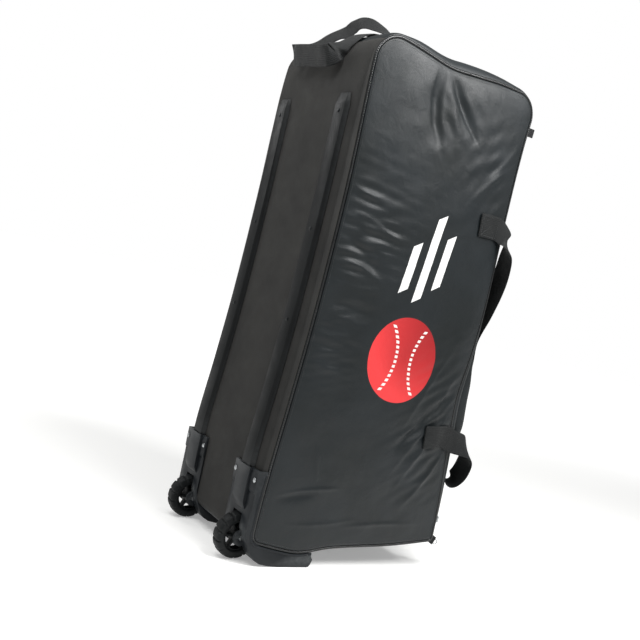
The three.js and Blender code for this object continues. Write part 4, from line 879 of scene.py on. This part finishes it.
# Carry handles: patches sewn on the side panels and a slack run over the lid
upper, lower = ([[side_surface(x, height, WEBBING / 2 + GAP + 1.5), [0, 0, 1]] for x in PATCH_ACROSS]
                for height in PATCH_HEIGHTS)
free = []
half = CARRY_WIDTH / 2
for at, across, share, turn in CARRY_RUN:
    y, angle = across * BAG_WIDTH, np.radians(turn)
    covered = max(float(pocket_rise(np.array(at), np.array(e))) for e in (y - half, y, y + half))
    rise = max(float(panel_rise(LID, at, y + half * np.sin(angle)) - panel_rise(LID, at, y)), 0)
    free.append([band(LID, at, y, WEBBING / 2 + GAP + rise + covered + share * BAG_DEPTH),
                 [0, np.sin(angle), np.cos(angle)]])
stations = upper + free + lower[::-1]
shares = np.linspace(0, 1, LINE_STEPS)
path = smooth_path([s[0] for s in stations], shares)
wide = unit(smooth_path([s[1] for s in stations], shares))
for end, outward in (("front", -1.0), ("back", 1.0)):
    strap = ribbon(f"carry_webbing_{end}", on_side(path, end), wide * [1, -outward, 1], CARRY_WIDTH)
    stands_for(strap, f"carry_handle_{end}")
    # Box stitching on both patches
    lines = []
    for height in PATCH_HEIGHTS:
        near, far = (side_surface(x, height, WEBBING + GAP + 1.6) for x in (0.815, 0.925))
        up = np.array([0, 0, half - 4])
        box = [near - up, near + up, far + up, far - up]
        for a, b in ((0, 1), (1, 2), (2, 3), (3, 0), (0, 2), (1, 3)):
            line = box[a] + (box[b] - box[a]) * np.linspace(0, 1, 12)[:, None]
            lines.append((on_side(line, end), np.repeat([[0, outward, 0]], 12, 0)))
    stitches(f"carry_stitching_{end}", lines, pitch=3.6, length=2.7, thick=0.8)

# Tow handle: a webbing loop over the corner of the handle end
path_points = np.array([band(int(side), at, across * BAG_WIDTH, lift * BAG_DEPTH + WEBBING / 2 + GAP)
                        for side, at, across, lift, _ in TOW_RUN])
shares = np.linspace(0, 1, 320)
path = smooth_path(path_points, shares)
turns = np.radians(smooth_path(np.pad(TOW_RUN[:, 4:], ((0, 0), (0, 2))), shares)[:, :1])
ahead = unit(np.gradient(path, axis=0))
level = unit(np.cross([0, 0, 1.0], ahead))
edge = np.cross(ahead, level)
wide = level * np.cos(turns) - edge * np.sin(turns)
stands_for(ribbon("tow_webbing", path, wide, TOW_WIDTH), "tow_handle")

lines = []
for begin, stop in ((0.004, 0.1), (0.9, 0.996)):
    pick = (shares >= begin) & (shares <= stop)
    spot, across = path[pick], wide[pick]
    face = np.cross(unit(np.gradient(spot, axis=0)), across)
    for side in (-1, 1):
        for up_side in (-1, 1):
            row = spot + across * side * (TOW_WIDTH / 2 - 4) + face * up_side * (WEBBING / 2)
            lines.append((row, face * up_side))
stitches("tow_stitching", lines, pitch=3.8, length=2.8, thick=0.8)


def board_share(height):
    """Share of the board's length at a height over its foot, straight between its two ends."""
    low, high = (seam(BOARD, np.array(float(k)))[0][1] - BODY_LEVEL for k in (0, 1))
    return (height - low) / (high - low)


# Ribs along the edge of each bracket's flange, from its top round the corner to the skid's toe:
# a flattened cord, 3.4 by 2.6 mm, carried along the seam
RIB_LENGTH = 120
first, out1 = seam(BOARD, np.linspace(board_share(BRACKET_HEIGHT - 4), 0, 60))
second, out2 = seam(WHEEL, np.linspace(1, 1 - RIB_LENGTH / SIDES[WHEEL]["length"], 60)[1:])
out = np.concatenate([out1, out2])
line = np.concatenate([first, second]) + out * (RIM_INSET + GAP + 1.8)
rings = cord_rings(line, out, -3.1, 1.7, 1.3)
for end in ENDS:
    tube(f"bracket_rib_{end}", on_side(rings, end), None, BRACKET_PLASTIC)

# Rails, brackets and the zip slider keep the part's form, with their edges rounded
for end in ENDS:
    finer(f"rail_{end}", f"rail_moulding_{end}", RAIL_PLASTIC, 0.9)
    finer(f"bracket_{end}", f"bracket_moulding_{end}", BRACKET_PLASTIC, 0.8)
finer("zip_slider", "zip_slider_body", STEEL, 1.2)


def dome(name, node, radius, height, level, y, seat, metal=STEEL):
    """Fastener: a quarter-round profile turned about the board's outward direction, with a flat top."""
    at = board_share(level)
    point, out = seam(BOARD, np.array(at))
    rise = smooth_table(SIDES[BOARD]["rows"], at)[1] * BAG_DEPTH + seat + GAP
    seat_point = np.array([point[0] + out[0] * rise, y, point[1] + out[1] * rise])
    out = np.array([out[0], 0, out[1]])
    beside = np.array([0, 1.0, 0])
    up = np.cross(out, beside)
    turn = circle(28)
    tilt = np.linspace(0, np.pi / 2, 8)[:-1]
    r = np.concatenate([[radius * 0.96], radius * np.cos(tilt), [radius * 0.12]])
    h = np.concatenate([[0.0], height * (0.25 + 0.75 * np.sin(tilt)), [height * 0.98]])
    rings = (seat_point + r[:, None, None] * (np.cos(turn)[:, None] * beside + np.sin(turn)[:, None] * up)
             + h[:, None, None] * out)
    stands_for(tube(name, rings, None, metal), node)


for end, track in zip(ENDS, TRACKS):
    for name, share in (("low", 0.485), ("mid", 0.692), ("high", 0.958)):
        dome(f"screw_head_{name}_{end}", f"rail_screw_{name}_{end}", 3.4, 1.0, RAIL_TOP * share,
             track, RAIL_HEIGHT + GAP, BLACK_STEEL)
    for name, y in (("outer", 2.7), ("inner", 72.7)):
        dome(f"rivet_head_{name}_{end}", f"rivet_{name}_{end}", 4.4, 2.0, BRACKET_HEIGHT - RIVET_DROP,
             y if end == "front" else BAG_WIDTH - y, BRACKET_PLATE + BRACKET_PAD + 2 * GAP)


# Wheels: a lugged tyre round a spoked centre
def turned(name, radius, width, body, y):
    """Ring or disc: a closed profile of radii and widths turned about the axle. radius and width
    are grids of turn by profile step."""
    turn = circle(radius.shape[0])[:, None]
    x, z = radius * np.cos(turn) - AXLE_SETBACK, radius * np.sin(turn) + AXLE_HEIGHT
    rings = np.stack([x, width + y, z], -1)
    faces = grid_faces(*radius.shape, loop_rows=True, loop_columns=True)
    return outwards(build(name, rings.reshape(-1, 3), faces, WHEEL_PLASTIC, body))


LUG_STEPS, RIM_STEPS, SECTION, SPOKE_STEPS = 16, 96, 36, 10
turn, section = circle(TREAD_BLOCKS * LUG_STEPS)[:, None], circle(SECTION)[None]
thick = (WHEEL_RADIUS - RIM_RADIUS) / 2 + 1
cross_r, cross_w = squarish(np.cos(section), 0.55), squarish(np.sin(section), 0.5)
phase = (turn * TREAD_BLOCKS / (2 * np.pi) + 0.12 * cross_w) % 1
groove = np.clip(1 - np.abs(phase - 0.5) / 0.14, 0, 1)
groove = groove**2 * (3 - 2 * groove)
tyre_r = WHEEL_RADIUS - thick + thick * cross_r - TREAD_DEPTH * groove * np.clip(cross_r * 1.6, 0, 1)
tyre_w = (WHEEL_WIDTH / 2) * cross_w * (1 - 0.1 * groove * np.clip(cross_r + 0.2, 0, 1))
tyre_w = np.broadcast_to(tyre_w, tyre_r.shape)
# Rim and hub: rounded rings, each given by its inner and outer radius and half its width
RINGS = {"rim": (23.6, 27.2, 8.5), "hub": (4.6, HUB_RADIUS, 11)}
flatter = np.broadcast_to(squarish(cross_r, 0.4), (RIM_STEPS, SECTION))
for end, y in zip(ENDS, TRACKS):
    body = f"wheel_{end}"
    stands_for(turned(f"tyre_{end}", tyre_r, tyre_w, body, y), body)
    for name, (inner, outer, half_width) in RINGS.items():
        radius = (outer + inner) / 2 + (outer - inner) / 2 * flatter
        turned(f"{name}_{end}", radius, np.broadcast_to(cross_w * half_width, radius.shape), body, y)
    # Spokes: a rounded rectangle carried outwards from the hub to the rim, all six in one mesh
    reach = np.linspace(HUB_RADIUS - 1.5, RIM_RADIUS - 2, SPOKE_STEPS)
    spoke_points, spoke_faces = [], []
    for k, a in enumerate(circle(SPOKES)):
        first = k * SPOKE_STEPS * SECTION
        out = np.array([np.cos(a), 0, np.sin(a)])
        side = np.array([-np.sin(a), 0, np.cos(a)])
        half = 2.4 + 1.6 * ((reach - 20) / 9) ** 2
        ring = (np.array([-AXLE_SETBACK, y, AXLE_HEIGHT]) + out * reach[:, None, None]
                + side * (half[:, None] * cross_r)[..., None]
                + np.array([0, 1.0, 0]) * (6.5 * cross_w + 0 * half[:, None])[..., None])
        spoke_points.append(ring.reshape(-1, 3))
        spoke_faces.append(grid_faces(SPOKE_STEPS, SECTION, loop_columns=True) + first)
        spoke_faces += [np.arange(SECTION)[None, ::-1] + first,
                        np.arange(SECTION)[None] + first + (SPOKE_STEPS - 1) * SECTION]
    outwards(build(f"spokes_{end}", np.concatenate(spoke_points), spoke_faces, WHEEL_PLASTIC, body))

# The axles stay as they are, in steel
for end in ENDS:
    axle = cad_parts[f"axle_{end}"]
    axle.data.materials.clear()
    axle.data.materials.append(STEEL)

# Floor, light and camera
bpy.ops.mesh.primitive_plane_add(size=40, location=(0, 0, -0.0005))
floor = bpy.context.active_object
floor.name = "floor"
paper, tree, shader = start("studio_paper", IOR=1.45, Roughness=0.9, Emission_Color=(1, 1, 1, 1))
place = add(tree, "TexCoord", out="Object")
tint(tree, shader, place, "efefed", "f3f3f1", 900)
# The paper brightens with the distance from a point in front of the bag, in metres
reach = add(tree, "VectorMath", (place, (0.4, -1.4, 0)), out="Value", operation="DISTANCE")
far = add(tree, "MapRange", {"Value": reach, "From Min": 1.9, "From Max": 4.2, "To Min": 0.3, "To Max": 0.8},
          interpolation_type="SMOOTHSTEP")
tree.links.new(far, shader.inputs["Emission Strength"])
floor.data.materials.append(paper)

world = bpy.data.worlds.new("studio")
bpy.context.scene.world = world
world.use_nodes = True
tree = world.node_tree
tree.nodes["Background"].inputs["Color"].default_value = (1, 1, 1, 1)
seen = add(tree, "LightPath", out="Is Camera Ray")
# White behind the bag, and 0.29 of that as light on it
level = add(tree, "Math", (seen, 0.71, 0.29), operation="MULTIPLY_ADD")
tree.links.new(level, tree.nodes["Background"].inputs["Strength"])


def placed(right, up, back, place):
    """Matrix of a lamp or camera from its three axes and its place."""
    rows = np.stack([right, up, back], 1).tolist()
    return Matrix([[*row, p] for row, p in zip(rows, place)] + [[0, 0, 0, 1]])


def area_light(name, place, target, size, power):
    """Square lamp of a size in metres and a power in watts, turned towards its target."""
    light = bpy.data.lights.new(name, "AREA")
    light.shape, light.size, light.energy = "SQUARE", size, power
    lamp = in_scene(name, light)
    back = unit(np.array(place) - np.array(target))
    right = unit(np.cross([0, 0, 1.0], back))
    lamp.matrix_world = placed(right, np.cross(back, right), back, place)


area_light("overhead_front", (0.15, -0.78, 1.75), (0.05, -0.1, 0.85), 0.7, 24)
area_light("overhead_board", (-1.0, -0.2, 1.85), (-0.2, 0, 0.85), 0.8, 17)
area_light("upper_gloss", (1.1, -1.45, 1.85), (0, -0.15, 0.9), 0.5, 25)
area_light("board_gloss", (-1.15, 1.5, 1.4), (-0.24, 0, 0.88), 0.7, 8)

# Camera from the photograph's view: place in mm, and turns in degrees
CAMERA_PLACE = np.array([-775.21, -1155.83, 491.63])
AZIMUTH, PITCH, ROLL, FOCAL_PX, FRAME_PX = -34.5023, 2.054, 13.8887, 815.936, 640
a, e, r = np.radians([AZIMUTH, PITCH, ROLL])
forward = np.array([-np.sin(a) * np.cos(e), np.cos(a) * np.cos(e), -np.sin(e)])
right = np.array([np.cos(a), np.sin(a), 0])
up = np.cross(right, forward)
x_axis, y_axis = np.cos(r) * right + np.sin(r) * up, -np.sin(r) * right + np.cos(r) * up
camera = in_scene("camera", bpy.data.cameras.new("camera"))
camera.data.sensor_width = 36
camera.data.lens = 36 * FOCAL_PX / FRAME_PX
camera.matrix_world = placed(x_axis, y_axis, -forward, ((CAMERA_PLACE + SHIFT) / 1000).tolist())
bpy.context.scene.camera = camera
bpy.context.scene.view_settings.view_transform = "Standard"
